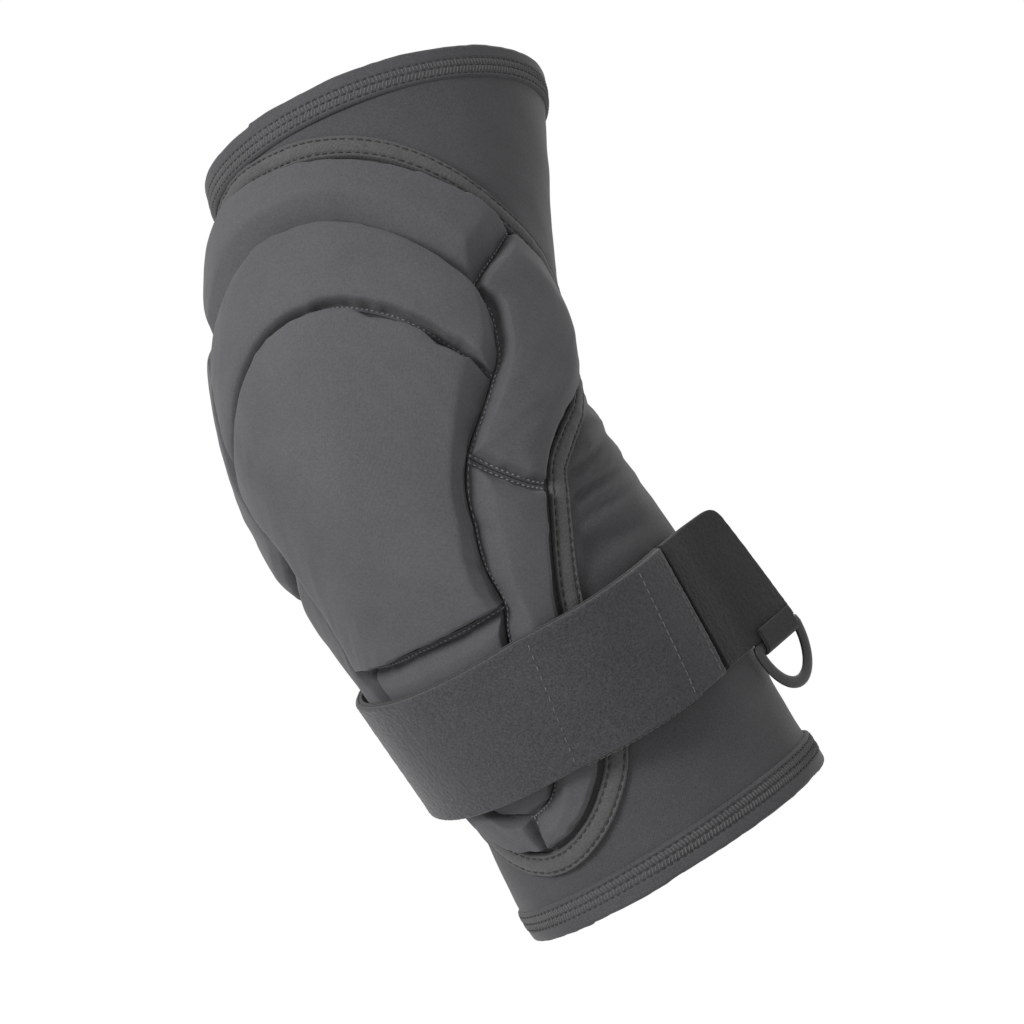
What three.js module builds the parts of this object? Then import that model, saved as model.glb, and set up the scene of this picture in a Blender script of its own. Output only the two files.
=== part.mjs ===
// Elbow pad: a pull-on stretch sleeve, pre-curved to a bent arm, with a sewn panel of foam pads over the
// point of the elbow and one hook-and-loop strap round the forearm. Millimetres, +Z up. The origin is the
// centre of the arm channel at the elbow, -Y is the side that faces the viewer, and the forearm runs towards
// +X and -Z.
//
// Everything is drawn on the sleeve. A point has an angle round the arm (0 at the point of the elbow, growing
// towards the outer side), a distance along the arm (negative up the upper arm, positive down the forearm)
// and a height above the sleeve's outer face.
import * as THREE from "three";

// ---- Driving sizes ----
const UPPER_LEAN = 5; // upper arm: lean seen from the front, and tilt of its top away from the viewer
const UPPER_TILT = 24;
const FORE_LEAN = 34.5; // forearm: the same two angles
const FORE_TILT = 11;
const BEND_RADIUS = 60; // of the arm's centre line at the elbow

const ELBOW_RADIUS = 44.5; // outer radius of the sleeve
const TOP_RADIUS = 48.5;
const WRIST_RADIUS = 46.4;
const TOP_TAPER = [45, 95]; // the sleeve widens between these distances from the elbow
const WRIST_TAPER = [85, 140];
const SIDE_SHIFT = 2.7; // the elbow's bulge moves the sleeve's middle towards its outer side
const WRIST_SHIFT = -1;
const SHIFT_ANGLE = 129;

const UPPER_LENGTH = 90; // elbow to the middle of the top rim
const UPPER_SLANT = 14.5; // how far that rim rises at the front of the arm
const UPPER_SLANT_ANGLE = -20;
const FORE_LENGTH = 140;
const FORE_SLANT = 8;
const FORE_SLANT_ANGLE = 25;
const STRETCH_ZONE = 50; // the elbow's own stretch panel reaches this far each way

const SLEEVE_WALL = 1.2;
const HEM_WIDTH = 9.5;
const HEM_WALL = 0.9;

const ARCH_FOAM = 5.6;
const CAP_FOAM = 5.8;
const WING_FOAM = 5.6;
const RAIL_FOAM = 4.4;
const TONGUE_FOAM = 3;
const COVER_WALL = 0.9;
const PAD_BEVEL = 3.4; // width of a pad's sloping edge
const FOAM_EDGE = 0.6; // thickness of the foam at its very edge
const FOAM_FIT = 1.1; // clearance between a foam core and the side walls of its cover
const CAP_CROWN = 1.4; // extra height in the middle of the cap
const PAD_CROWN = 0.6;
const GROOVE = 1.6; // sewn groove between two neighbouring covers

const BINDING_WIDTH = 6.4;
const BINDING_WALL = 1.6;

const STRAP_WIDTH = 38;
const STRAP_WALL = 1.3;
const PILE_WALL = 0.8; // the brushed loop face on top of the webbing
const PILE_END = 2.2; // degrees of bare webbing between the pile's end and the tail's fold
const STRAP_START = -96; // angles of the strap's two ends on the sleeve
const STRAP_END = 89;
const STRAP_ALONG = 72.5; // where its middle crosses the point of the elbow's line
const STRAP_RISE = 0.1; // millimetres along the arm for each degree past the point below
const STRAP_RISE_FROM = 28;
const STRAP_DROP = [42, 104]; // angles from the panel's middle where it comes down off the pads
const ANCHOR_ANGLE = 14; // the sewn patch over the strap's fixed end

const TAIL_TOP_LENGTH = 28;
const TAIL_BOTTOM_LENGTH = 37;
const TAIL_CORNER = 5;
const HOOK_WALL = 1;
const HOOK_MARGIN = 3;

const LOOP_WIDTH = 24; // the D-shaped pull loop, over its wire
const LOOP_DEPTH = 15;
const LOOP_WIRE = 1.25;
const LOOP_INSET = 1.5; // from the tail's end
const KEEPER_WALL = 0.8;
const KEEPER_GRIP = 5; // how far the keeper tab reaches over the strap

// ---- Clearances ----
const SEAT = 0.6; // between the sleeve and what is sewn on it
const FIT = 0.4; // between a foam and its cover, and between stacked layers
const BUTT = 0.4; // between sleeve lengths that meet end to end

// ---- Seam lines of the panel's right half: [degrees from its middle line, distance along the arm] ----
const PANEL_TOP = [[0, -57.6], [18, -56.8], [40, -52], [58, -45], [74, -37.5]];
const ARCH_SEAM = [[0, -39], [14, -37.5], [27, -32.5], [42, -23.5], [53, -18]];
const CAP_SEAM = [[0, -17.8], [11, -17.3], [27, -13.5], [40, -7.5], [54, 1.3]];
const SHOULDER = [[53, -18], [74, -37.5]];
const WING_INNER_TOP = [[53, -18], [58.2, -13.5], [58.3, -4], [54, 1.3]];
const WING_INNER_LOW = [[54, 1.3], [48, 6.4], [38, 13]];
const WING_OUTER_TOP = [[74, -37.5], [85, -32], [97, -19.5], [97.5, -3]];
const WING_OUTER_LOW = [[97.5, -3], [91, 10], [77, 16], [66, 21.3], [60, 26.5]];
const WING_FOOT = [[38, 13], [46, 18], [60, 26.5]];
const CAP_SIDE = [[38, 13], [33, 20], [30.5, 33], [32, 45]];
const CAP_FOOT = [[0, 44.5], [20, 45], [32, 45]];
const RAIL_OUTER_TOP = [[60, 26.5], [58, 32], [53.2, 41.5], [47.2, 53.5]];
const RAIL_OUTER_LOW = [[47.2, 53.5], [40.2, 75], [32, 92.3], [22.3, 101.5], [11.3, 107.2], [0, 109.3]];
const TONGUE_SIDE = [[32, 45], [28, 53], [21, 72], [15, 90], [9, 96.5], [0, 99]];
const CENTRE_SEAM = [[0, 99], [0, 109.3]];
const BINDING_TOP = [[0, -59.3], [17, -58.9], [35, -56], [52, -50], [71, -40.5], [90, -31.5]];
const BINDING_SIDE = [[90, -31.5], [101, -20], [101, 1], [91, 13], [76, 18.5]];
const BINDING_WAIST = [[76, 18.5], [65.5, 23], [60, 31.5], [48.6, 53.5]];
const BINDING_LOW = [[48.6, 53.5], [41.5, 75], [33.5, 93], [23.5, 102.5], [12, 108.3], [0, 110.5]];
const MIDDLE_TWIST = 17; // angle of the panel's middle line where it is turned most
const MIDDLE_TWIST_AT = -15;
const MIDDLE_TWIST_REACH = 75;

// ---- Finishes ----
const FABRIC = new THREE.MeshStandardMaterial({ color: 0x55565a, roughness: 0.85 });
const PAD_FABRIC = new THREE.MeshStandardMaterial({ color: 0x58595d, roughness: 0.8 });
const FOAM = new THREE.MeshStandardMaterial({ color: 0x77787a, roughness: 0.95 });
const TAPE = new THREE.MeshStandardMaterial({ color: 0x5a5b5d, roughness: 0.8 });
const WEBBING = new THREE.MeshStandardMaterial({ color: 0x3c3d41, roughness: 0.9 });
const PILE = new THREE.MeshStandardMaterial({ color: 0x424348, roughness: 1 });
const HOOK = new THREE.MeshStandardMaterial({ color: 0x2e2f32, roughness: 0.7 });
const LOOP_PLASTIC = new THREE.MeshStandardMaterial({ color: 0x38393b, roughness: 0.5 });

// ---- The arm's line ----
const rad = THREE.MathUtils.degToRad;
const smooth = THREE.MathUtils.smoothstep;

const upperUp = new THREE.Vector3(
  -Math.sin(rad(UPPER_LEAN)) * Math.cos(rad(UPPER_TILT)),
  Math.sin(rad(UPPER_TILT)),
  Math.cos(rad(UPPER_LEAN)) * Math.cos(rad(UPPER_TILT)),
);
const foreDown = new THREE.Vector3(
  Math.sin(rad(FORE_LEAN)) * Math.cos(rad(FORE_TILT)),
  Math.sin(rad(FORE_TILT)),
  -Math.cos(rad(FORE_LEAN)) * Math.cos(rad(FORE_TILT)),
);
const upperDown = upperUp.clone().negate();
const along0 = upperDown.clone().add(foreDown).normalize();
const back0 = upperDown.clone().sub(foreDown).normalize();
const side = new THREE.Vector3().crossVectors(back0, along0).normalize();
const halfBend = upperDown.angleTo(foreDown) / 2;

// Centre, direction along the arm and direction towards the point of the elbow, at a distance along the arm.
function armFrame(u) {
  const bent = THREE.MathUtils.clamp(u, -BEND_RADIUS * halfBend, BEND_RADIUS * halfBend);
  const turn = bent / BEND_RADIUS;
  const along = along0.clone().multiplyScalar(Math.cos(turn)).addScaledVector(back0, -Math.sin(turn));
  const back = back0.clone().multiplyScalar(Math.cos(turn)).addScaledVector(along0, Math.sin(turn));
  const centre = back.clone().sub(back0).multiplyScalar(BEND_RADIUS).addScaledVector(along, u - bent);
  return { centre, along, back };
}

function sleeveRadius(u) {
  const top = (TOP_RADIUS - ELBOW_RADIUS) * smooth(-u, ...TOP_TAPER);
  return ELBOW_RADIUS + top + (WRIST_RADIUS - ELBOW_RADIUS) * smooth(u, ...WRIST_TAPER);
}

function sleeveShift(u) {
  const top = SIDE_SHIFT * smooth(-u, ...TOP_TAPER);
  return SIDE_SHIFT - top + (WRIST_SHIFT - SIDE_SHIFT) * smooth(u, ...WRIST_TAPER);
}

function onSleeve(angle, u, height) {
  const { centre, back } = armFrame(u);
  const radius = sleeveRadius(u) + height;
  const shift = sleeveShift(u);
  const towardsBack = radius * Math.cos(rad(angle)) + shift * Math.cos(rad(SHIFT_ANGLE));
  const towardsSide = radius * Math.sin(rad(angle)) + shift * Math.sin(rad(SHIFT_ANGLE));
  return centre.addScaledVector(back, towardsBack).addScaledVector(side, towardsSide);
}

const middleLine = (u) => MIDDLE_TWIST * (1 - smooth(Math.abs(u - MIDDLE_TWIST_AT), 0, MIDDLE_TWIST_REACH));
const onPanel = (degrees, u, height) => onSleeve(middleLine(u) + degrees, u, height);
const upperRim = (angle) => -UPPER_LENGTH + UPPER_SLANT * Math.cos(rad(angle - UPPER_SLANT_ANGLE));
const foreRim = (angle) => FORE_LENGTH - FORE_SLANT * Math.cos(rad(angle - FORE_SLANT_ANGLE));

// ---- Solids from two grids of points ----
// Two sheets of points, outer and inner, joined along their open edges. With ring, a row closes on itself.
function solid(name, material, outer, inner, ring = false) {
  const rows = outer.length;
  const columns = outer[0].length;
  const points = [...outer.flat(), ...inner.flat()];
  const faces = [];
  const quad = (a, b, c, d) => faces.push(a, b, c, a, c, d);
  // A sheet's quads are cut along the line that runs in from the nearest corner, so bevels meet in a ridge.
  const cut = (i, j) => i < (rows - 1) / 2 === j < (columns - 1) / 2;
  const at = (sheet, i, j) => sheet * rows * columns + i * columns + (j % columns);
  const lastColumn = ring ? columns : columns - 1;
  for (let i = 0; i < rows - 1; i++) {
    for (let j = 0; j < lastColumn; j++) {
      if (cut(i, j)) {
        quad(at(0, i, j), at(0, i, j + 1), at(0, i + 1, j + 1), at(0, i + 1, j));
        quad(at(1, i, j), at(1, i + 1, j), at(1, i + 1, j + 1), at(1, i, j + 1));
      } else {
        quad(at(0, i, j + 1), at(0, i + 1, j + 1), at(0, i + 1, j), at(0, i, j));
        quad(at(1, i, j + 1), at(1, i, j), at(1, i + 1, j), at(1, i + 1, j + 1));
      }
    }
  }
  for (let j = 0; j < lastColumn; j++) {
    quad(at(0, 0, j), at(1, 0, j), at(1, 0, j + 1), at(0, 0, j + 1));
    quad(at(0, rows - 1, j), at(0, rows - 1, j + 1), at(1, rows - 1, j + 1), at(1, rows - 1, j));
  }
  if (!ring) {
    const end = columns - 1;
    for (let i = 0; i < rows - 1; i++) {
      quad(at(0, i, 0), at(0, i + 1, 0), at(1, i + 1, 0), at(1, i, 0));
      quad(at(0, i, end), at(1, i, end), at(1, i + 1, end), at(0, i + 1, end));
    }
  }
  return meshOf(name, material, points, faces);
}

// A named mesh of points and faces, with its faces turned outwards.
function meshOf(name, material, points, faces) {
  let volume = 0;
  for (let i = 0; i < faces.length; i += 3) {
    const [a, b, c] = [points[faces[i]], points[faces[i + 1]], points[faces[i + 2]]];
    volume += a.dot(b.clone().cross(c));
  }
  if (volume < 0) faces.reverse();
  const geometry = new THREE.BufferGeometry().setFromPoints(points);
  geometry.setIndex(faces);
  geometry.computeVertexNormals();
  const mesh = new THREE.Mesh(geometry, material);
  mesh.name = name;
  return mesh;
}

const steps = (count) => Array.from({ length: count + 1 }, (_, i) => i / count);

// A length of sleeve between two rims, each given as a function of the angle.
function tube(name, material, from, to, low, high, rows, columns) {
  const sheet = (height) =>
    steps(rows).map((t) =>
      steps(columns).slice(0, -1).map((s) => {
        const angle = 360 * s;
        return onSleeve(angle, THREE.MathUtils.lerp(from(angle), to(angle), t), height);
      }),
    );
  return solid(name, material, sheet(high), sheet(low), true);
}

// ---- Pads: four-sided patches between seam lines ----
const mirrored = (line) => line.map(([degrees, u]) => [-degrees, u]);
const across = (line) => [...mirrored(line).reverse(), ...line.slice(1)];
const joined = (...lines) => lines.flatMap((line, i) => (i ? line.slice(1) : line));
const curveOf = (line) => new THREE.SplineCurve(line.map(([x, y]) => new THREE.Vector2(x, y)));

// A Coons patch: top and foot run the same way, and so do start and end.
function patchOf({ top, foot, start, end }) {
  const [a, b, c, d] = [top, foot, start, end].map(curveOf);
  const corner = { p00: a.getPointAt(0), p10: a.getPointAt(1), p01: b.getPointAt(0), p11: b.getPointAt(1) };
  return (s, t) => {
    const ruled = a.getPointAt(s).multiplyScalar(1 - t).addScaledVector(b.getPointAt(s), t);
    ruled.addScaledVector(c.getPointAt(t), 1 - s).addScaledVector(d.getPointAt(t), s);
    ruled.addScaledVector(corner.p00, -(1 - s) * (1 - t)).addScaledVector(corner.p10, -s * (1 - t));
    return ruled.addScaledVector(corner.p01, -(1 - s) * t).addScaledVector(corner.p11, -s * t);
  };
}

// A pad-shaped sheet: its outermost ring of points stands at the foot height, inset from the seam lines, and
// the rest is the crowned top, inset by the bevel as well.
function padSheet(patch, { inset, bevel, foot, height, crown, rows, columns }) {
  const place = (s, t, h) => {
    const p = patch(s, t);
    return onPanel(p.x, p.y, h);
  };
  const middle = [0.25, 0.5, 0.75];
  const mean = (lengths) => lengths.reduce((sum, x) => sum + x, 0) / lengths.length;
  const lengthAcross = mean(middle.map((t) => lineLength(steps(8).map((s) => place(s, t, height)))));
  const lengthDown = mean(middle.map((s) => lineLength(steps(8).map((t) => place(s, t, height)))));
  const marks = (count, length) => {
    const edge = inset / length;
    const rim = (inset + bevel) / length;
    return [edge, ...steps(count - 2).map((k) => THREE.MathUtils.lerp(rim, 1 - rim, k)), 1 - edge];
  };
  const downMarks = marks(rows, lengthDown);
  const acrossMarks = marks(columns, lengthAcross);
  return downMarks.map((t, i) =>
    acrossMarks.map((s, j) => {
      const onEdge = i === 0 || j === 0 || i === rows || j === columns;
      const bulge = crown * 16 * s * (1 - s) * t * (1 - t);
      return place(s, t, onEdge ? foot : height + bulge);
    }),
  );
}

function lineLength(points) {
  return points.slice(1).reduce((sum, p, i) => sum + p.distanceTo(points[i]), 0);
}

// The foam core and the cover pocket of one pad.
function pad(name, outline, foam, crown, rows, columns) {
  const patch = patchOf(outline);
  const base = { crown, rows, columns, foot: SEAT };
  const coverOutside = GROOVE / 2;
  const coverInside = coverOutside + COVER_WALL + FIT / 2;
  const foamOutside = coverInside + FOAM_FIT;
  const foamTop = SEAT + foam;
  const pocket = foamTop + FIT;
  const outside = padSheet(patch, {
    ...base,
    inset: coverOutside,
    bevel: PAD_BEVEL,
    height: pocket + COVER_WALL,
  });
  const inside = padSheet(patch, { ...base, inset: coverInside, bevel: PAD_BEVEL, height: pocket });
  const core = padSheet(patch, {
    ...base,
    inset: foamOutside,
    bevel: PAD_BEVEL,
    foot: SEAT + FOAM_EDGE,
    height: foamTop,
  });
  const sole = padSheet(patch, { ...base, inset: foamOutside, bevel: PAD_BEVEL, height: SEAT, crown: 0 });
  return [solid(`${name}_foam`, FOAM, core, sole), solid(`${name}_cover`, PAD_FABRIC, outside, inside)];
}

// ---- Binding: one flat tape sewn round the whole panel, its inner edge on the line ----
const perDegree = rad(1) * ELBOW_RADIUS;
const bindingHalf = joined(BINDING_TOP, BINDING_SIDE, BINDING_WAIST, BINDING_LOW);
const bindingRing = [...bindingHalf, ...mirrored(bindingHalf).reverse().slice(1, -1)];
const bindingCurve = new THREE.CatmullRomCurve3(
  bindingRing.map(([x, y]) => new THREE.Vector3(x, y, 0)),
  true,
  "catmullrom",
);
bindingCurve.arcLengthDivisions = 600;

// Where along the ring, as a share of it, the line passes a point.
function shareAt([x, y]) {
  const there = new THREE.Vector3(x, y, 0);
  const distance = (k) => bindingCurve.getPointAt(k).distanceTo(there);
  return steps(400).reduce((best, k) => (distance(k) < distance(best) ? k : best), 0);
}

// The tape between two shares of the ring, drawn back from both so that lengths don't touch.
function binding(name, from, to, count) {
  const trim = BUTT / lineLength(bindingCurve.getSpacedPoints(200).map((p) => onPanel(p.x, p.y, 0)));
  const sheet = (height) =>
    steps(count).map((share) => {
      const k = (THREE.MathUtils.lerp(from + trim, to - trim, share) + 1) % 1;
      const p = bindingCurve.getPointAt(k);
      const t = bindingCurve.getTangentAt(k);
      const [x, y] = [t.x * perDegree, t.y];
      const length = Math.hypot(x, y);
      return [0, BINDING_WIDTH].map((w) =>
        onPanel(p.x + (w * y) / length / perDegree, p.y - (w * x) / length, height),
      );
    });
  return solid(name, TAPE, sheet(SEAT + BINDING_WALL), sheet(SEAT));
}

// ---- The strap ----
const padTop = SEAT + RAIL_FOAM + PAD_CROWN + FIT + COVER_WALL;
const strapMiddle = (angle) => STRAP_ALONG + STRAP_RISE * Math.max(0, angle - STRAP_RISE_FROM);
const strapSeat = (angle) => THREE.MathUtils.lerp(padTop + FIT, SEAT, smooth(Math.abs(angle), ...STRAP_DROP));

// A band of the strap between two angles, from one height above its seat to another, cut square to its run.
function band(name, material, from, to, low, high, width, count) {
  const sheet = (height) =>
    steps(count).map((k) => {
      const middle = THREE.MathUtils.lerp(from, to, k);
      return steps(2).map((w) => {
        const aside = width * (w - 0.5);
        const angle = middle - (aside * STRAP_RISE) / perDegree ** 2;
        return onSleeve(angle, strapMiddle(middle) + aside, strapSeat(angle) + height);
      });
    });
  return solid(name, material, sheet(high), sheet(low));
}

// The free tail leaves the sleeve in a straight line. Its own frame: x along the strap, y up the arm, z out.
function tailFrame() {
  const u = strapMiddle(STRAP_END);
  const { along, back } = armFrame(u);
  const round = back.clone().multiplyScalar(-Math.sin(rad(STRAP_END)));
  round.addScaledVector(side, Math.cos(rad(STRAP_END)));
  const helix = Math.atan(STRAP_RISE / (rad(1) * sleeveRadius(u)));
  const x = round.clone().multiplyScalar(Math.cos(helix)).addScaledVector(along, Math.sin(helix));
  const y = along.clone().multiplyScalar(-Math.cos(helix)).addScaledVector(round, Math.sin(helix));
  const z = new THREE.Vector3().crossVectors(x, y);
  const group = new THREE.Group();
  group.applyMatrix4(new THREE.Matrix4().makeBasis(x, y, z));
  group.position.copy(onSleeve(STRAP_END, u, strapSeat(STRAP_END)));
  return group;
}

// A flat plate from an outline, between two heights.
function plate(name, material, outline, low, high) {
  const geometry = new THREE.ExtrudeGeometry(outline, {
    depth: high - low,
    bevelEnabled: false,
    curveSegments: 5,
  });
  geometry.translate(0, 0, low);
  const mesh = new THREE.Mesh(geometry, material);
  mesh.name = name;
  return mesh;
}

// The tail's outline, drawn in by a margin from its edges: a slanted end with one rounded corner.
function tailOutline(start, margin) {
  const half = STRAP_WIDTH / 2 - margin;
  const shape = new THREE.Shape();
  shape.moveTo(start, -half);
  shape.lineTo(TAIL_BOTTOM_LENGTH - margin, -half);
  shape.lineTo(TAIL_TOP_LENGTH + 1 - margin, half - TAIL_CORNER);
  shape.quadraticCurveTo(TAIL_TOP_LENGTH - margin, half, TAIL_TOP_LENGTH - TAIL_CORNER - margin, half);
  shape.lineTo(start, half);
  shape.closePath();
  return shape;
}

// The D-shaped loop: a round wire that follows a straight bar and half an ellipse.
function pullLoop(barAt) {
  const halfWidth = LOOP_WIDTH / 2 - LOOP_WIRE;
  const depth = LOOP_DEPTH - LOOP_WIRE;
  const wireSides = 8;
  const bar = steps(4)
    .slice(0, -1)
    .map((k) => new THREE.Vector3(THREE.MathUtils.lerp(-halfWidth, halfWidth, k), 0, 0));
  const bow = steps(16).slice(0, -1).map((k) => {
    const turn = Math.PI * k;
    return new THREE.Vector3(halfWidth * Math.cos(turn), -depth * Math.sin(turn), 0);
  });
  const line = [...bar, ...bow];
  const centre = new THREE.Vector3(0, -depth * 0.4, 0);
  const rings = line.map((p, i) => {
    const before = line[(i + line.length - 1) % line.length];
    const after = line[(i + 1) % line.length];
    const tangent = after.clone().sub(before).normalize();
    const outward = new THREE.Vector3().crossVectors(tangent, new THREE.Vector3(0, 0, 1)).normalize();
    if (outward.dot(p.clone().sub(centre)) < 0) outward.negate();
    return steps(wireSides).slice(0, -1).map((k) => {
      const turn = 2 * Math.PI * k;
      const ring = p.clone().addScaledVector(outward, LOOP_WIRE * Math.cos(turn));
      return ring.add(new THREE.Vector3(0, 0, LOOP_WIRE * Math.sin(turn)));
    });
  });
  const points = rings.flat();
  const faces = [];
  const at = (i, j) => (i % rings.length) * wireSides + (j % wireSides);
  for (let i = 0; i < rings.length; i++) {
    for (let j = 0; j < wireSides; j++) {
      faces.push(at(i, j), at(i + 1, j), at(i + 1, j + 1), at(i, j), at(i + 1, j + 1), at(i, j + 1));
    }
  }
  const mesh = meshOf("pull_loop", LOOP_PLASTIC, points, faces);
  mesh.position.copy(barAt);
  return mesh;
}

// The webbing tab that folds round the loop's bar and over the strap's lower edge.
function loopKeeper(barAt, width) {
  const inside = LOOP_WIRE + FIT / 2;
  const outside = inside + KEEPER_WALL;
  const section = new THREE.Shape();
  section.moveTo(-KEEPER_GRIP, outside);
  section.lineTo(0, outside);
  section.absarc(0, 0, outside, Math.PI / 2, -Math.PI / 2, true);
  section.lineTo(-KEEPER_GRIP, -outside);
  section.lineTo(-KEEPER_GRIP, -inside);
  section.lineTo(0, -inside);
  section.absarc(0, 0, inside, -Math.PI / 2, Math.PI / 2, false);
  section.lineTo(-KEEPER_GRIP, inside);
  section.closePath();
  const mesh = plate("loop_keeper", WEBBING, section, -width / 2, width / 2);
  mesh.geometry.applyMatrix4(
    new THREE.Matrix4().makeBasis(
      new THREE.Vector3(0, -1, 0),
      new THREE.Vector3(0, 0, 1),
      new THREE.Vector3(-1, 0, 0),
    ),
  );
  mesh.position.copy(barAt);
  return mesh;
}

// ---- The whole elbow pad ----
const elbowPad = new THREE.Group();
const pieces = (...meshes) => elbowPad.add(...meshes);

// Sleeve in three lengths, and the two folded hems.
const zoneTop = () => -STRETCH_ZONE;
const zoneFoot = () => STRETCH_ZONE;
const hemTop = (angle) => upperRim(angle) + HEM_WIDTH;
const hemFoot = (angle) => foreRim(angle) - HEM_WIDTH;
const seated = (rim, gap) => (angle) => rim(angle) + gap;
pieces(
  tube("upper_sleeve", FABRIC, upperRim, seated(zoneTop, -BUTT), -SLEEVE_WALL, 0, 4, 32),
  tube("elbow_sleeve", FABRIC, zoneTop, zoneFoot, -SLEEVE_WALL, 0, 10, 32),
  tube("forearm_sleeve", FABRIC, seated(zoneFoot, BUTT), foreRim, -SLEEVE_WALL, 0, 6, 32),
  tube("upper_hem", TAPE, upperRim, hemTop, FIT, FIT + HEM_WALL, 1, 32),
  tube("lower_hem", TAPE, hemFoot, foreRim, FIT, FIT + HEM_WALL, 1, 32),
);

// Pads on the middle line.
const archOuter = {
  top: across(PANEL_TOP),
  foot: across(ARCH_SEAM),
  start: mirrored([...SHOULDER].reverse()),
  end: [...SHOULDER].reverse(),
};
const archInner = {
  top: across(ARCH_SEAM),
  foot: across(CAP_SEAM),
  start: mirrored(WING_INNER_TOP),
  end: WING_INNER_TOP,
};
const capSide = joined(WING_INNER_LOW, CAP_SIDE);
const cap = { top: across(CAP_SEAM), foot: across(CAP_FOOT), start: mirrored(capSide), end: capSide };
const tongueEnd = [[-9, 96.5], [0, 99], [9, 96.5]];
const tongueSide = TONGUE_SIDE.slice(0, -1);
const tongue = { top: across(CAP_FOOT), foot: tongueEnd, start: mirrored(tongueSide), end: tongueSide };
pieces(
  ...pad("arch_outer", archOuter, ARCH_FOAM, PAD_CROWN, 5, 18),
  ...pad("arch_inner", archInner, ARCH_FOAM, PAD_CROWN, 5, 18),
  ...pad("elbow_cap", cap, CAP_FOAM, CAP_CROWN, 10, 12),
  ...pad("tongue", tongue, TONGUE_FOAM, PAD_CROWN, 8, 5),
);

// Wings, rails and side bindings, one of each on each side.
for (const [label, turn] of [["right", (line) => line], ["left", mirrored]]) {
  const wing = {
    top: turn(SHOULDER),
    foot: turn(WING_FOOT),
    start: turn(joined(WING_INNER_TOP, WING_INNER_LOW)),
    end: turn(joined(WING_OUTER_TOP, WING_OUTER_LOW)),
  };
  const rail = {
    top: turn(WING_FOOT),
    foot: turn(CENTRE_SEAM),
    start: turn(joined(CAP_SIDE, TONGUE_SIDE)),
    end: turn(joined(RAIL_OUTER_TOP, RAIL_OUTER_LOW)),
  };
  pieces(
    ...pad(`wing_${label}`, wing, WING_FOAM, PAD_CROWN, 10, 5),
    ...pad(`rail_${label}`, rail, RAIL_FOAM, PAD_CROWN, 18, 4),
  );
}
const topCut = shareAt(BINDING_TOP.at(-1));
const lowCut = shareAt(BINDING_LOW[0]);
pieces(
  binding("binding_top", -topCut, topCut, 26),
  binding("binding_right", topCut, lowCut, 18),
  binding("binding_lower", lowCut, 1 - lowCut, 24),
  binding("binding_left", 1 - lowCut, 1 - topCut, 18),
);

// Strap: webbing, its brushed face, and the sewn patch over its fixed end.
const anchorEnd = STRAP_START + ANCHOR_ANGLE;
const pileEnd = STRAP_END - PILE_END;
const pileBase = STRAP_WALL + FIT;
pieces(
  band("strap_band", WEBBING, STRAP_START, STRAP_END - 1, 0, STRAP_WALL, STRAP_WIDTH, 40),
  band("strap_pile", PILE, anchorEnd + 1, pileEnd, pileBase, pileBase + PILE_WALL, STRAP_WIDTH, 36),
  band("strap_anchor", WEBBING, STRAP_START, anchorEnd, pileBase, pileBase + PILE_WALL, STRAP_WIDTH, 4),
);

// The free tail with its hook patch, keeper and pull loop.
const tail = tailFrame();
const lowerEdge = -STRAP_WIDTH / 2;
const barAt = new THREE.Vector3(
  TAIL_BOTTOM_LENGTH + LOOP_INSET - LOOP_WIDTH / 2,
  lowerEdge - FIT - LOOP_WIRE,
  STRAP_WALL / 2,
);
const keeperWidth = LOOP_WIDTH - 4 * LOOP_WIRE - 2;
const hookOutline = tailOutline(HOOK_MARGIN, HOOK_MARGIN + KEEPER_GRIP);
tail.add(
  plate("strap_tail", PILE, tailOutline(FIT, 0), 0, STRAP_WALL),
  plate("hook_patch", HOOK, hookOutline, -FIT - HOOK_WALL, -FIT),
  loopKeeper(barAt, keeperWidth),
  pullLoop(barAt),
);
elbowPad.add(tail);

export default elbowPad;
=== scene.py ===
# %% [markdown]
# # An elbow pad of sewn cloth, foam and one strap
# The elbow pad is a stretch sleeve, pre-curved to a bent arm. A panel of foam pads is sewn over the point of
# the elbow, a flat tape binds the panel's edge, and a hook-and-loop strap runs round the forearm.
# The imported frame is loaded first. It brings the moving bodies, and the box that the looks must stay in.

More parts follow.
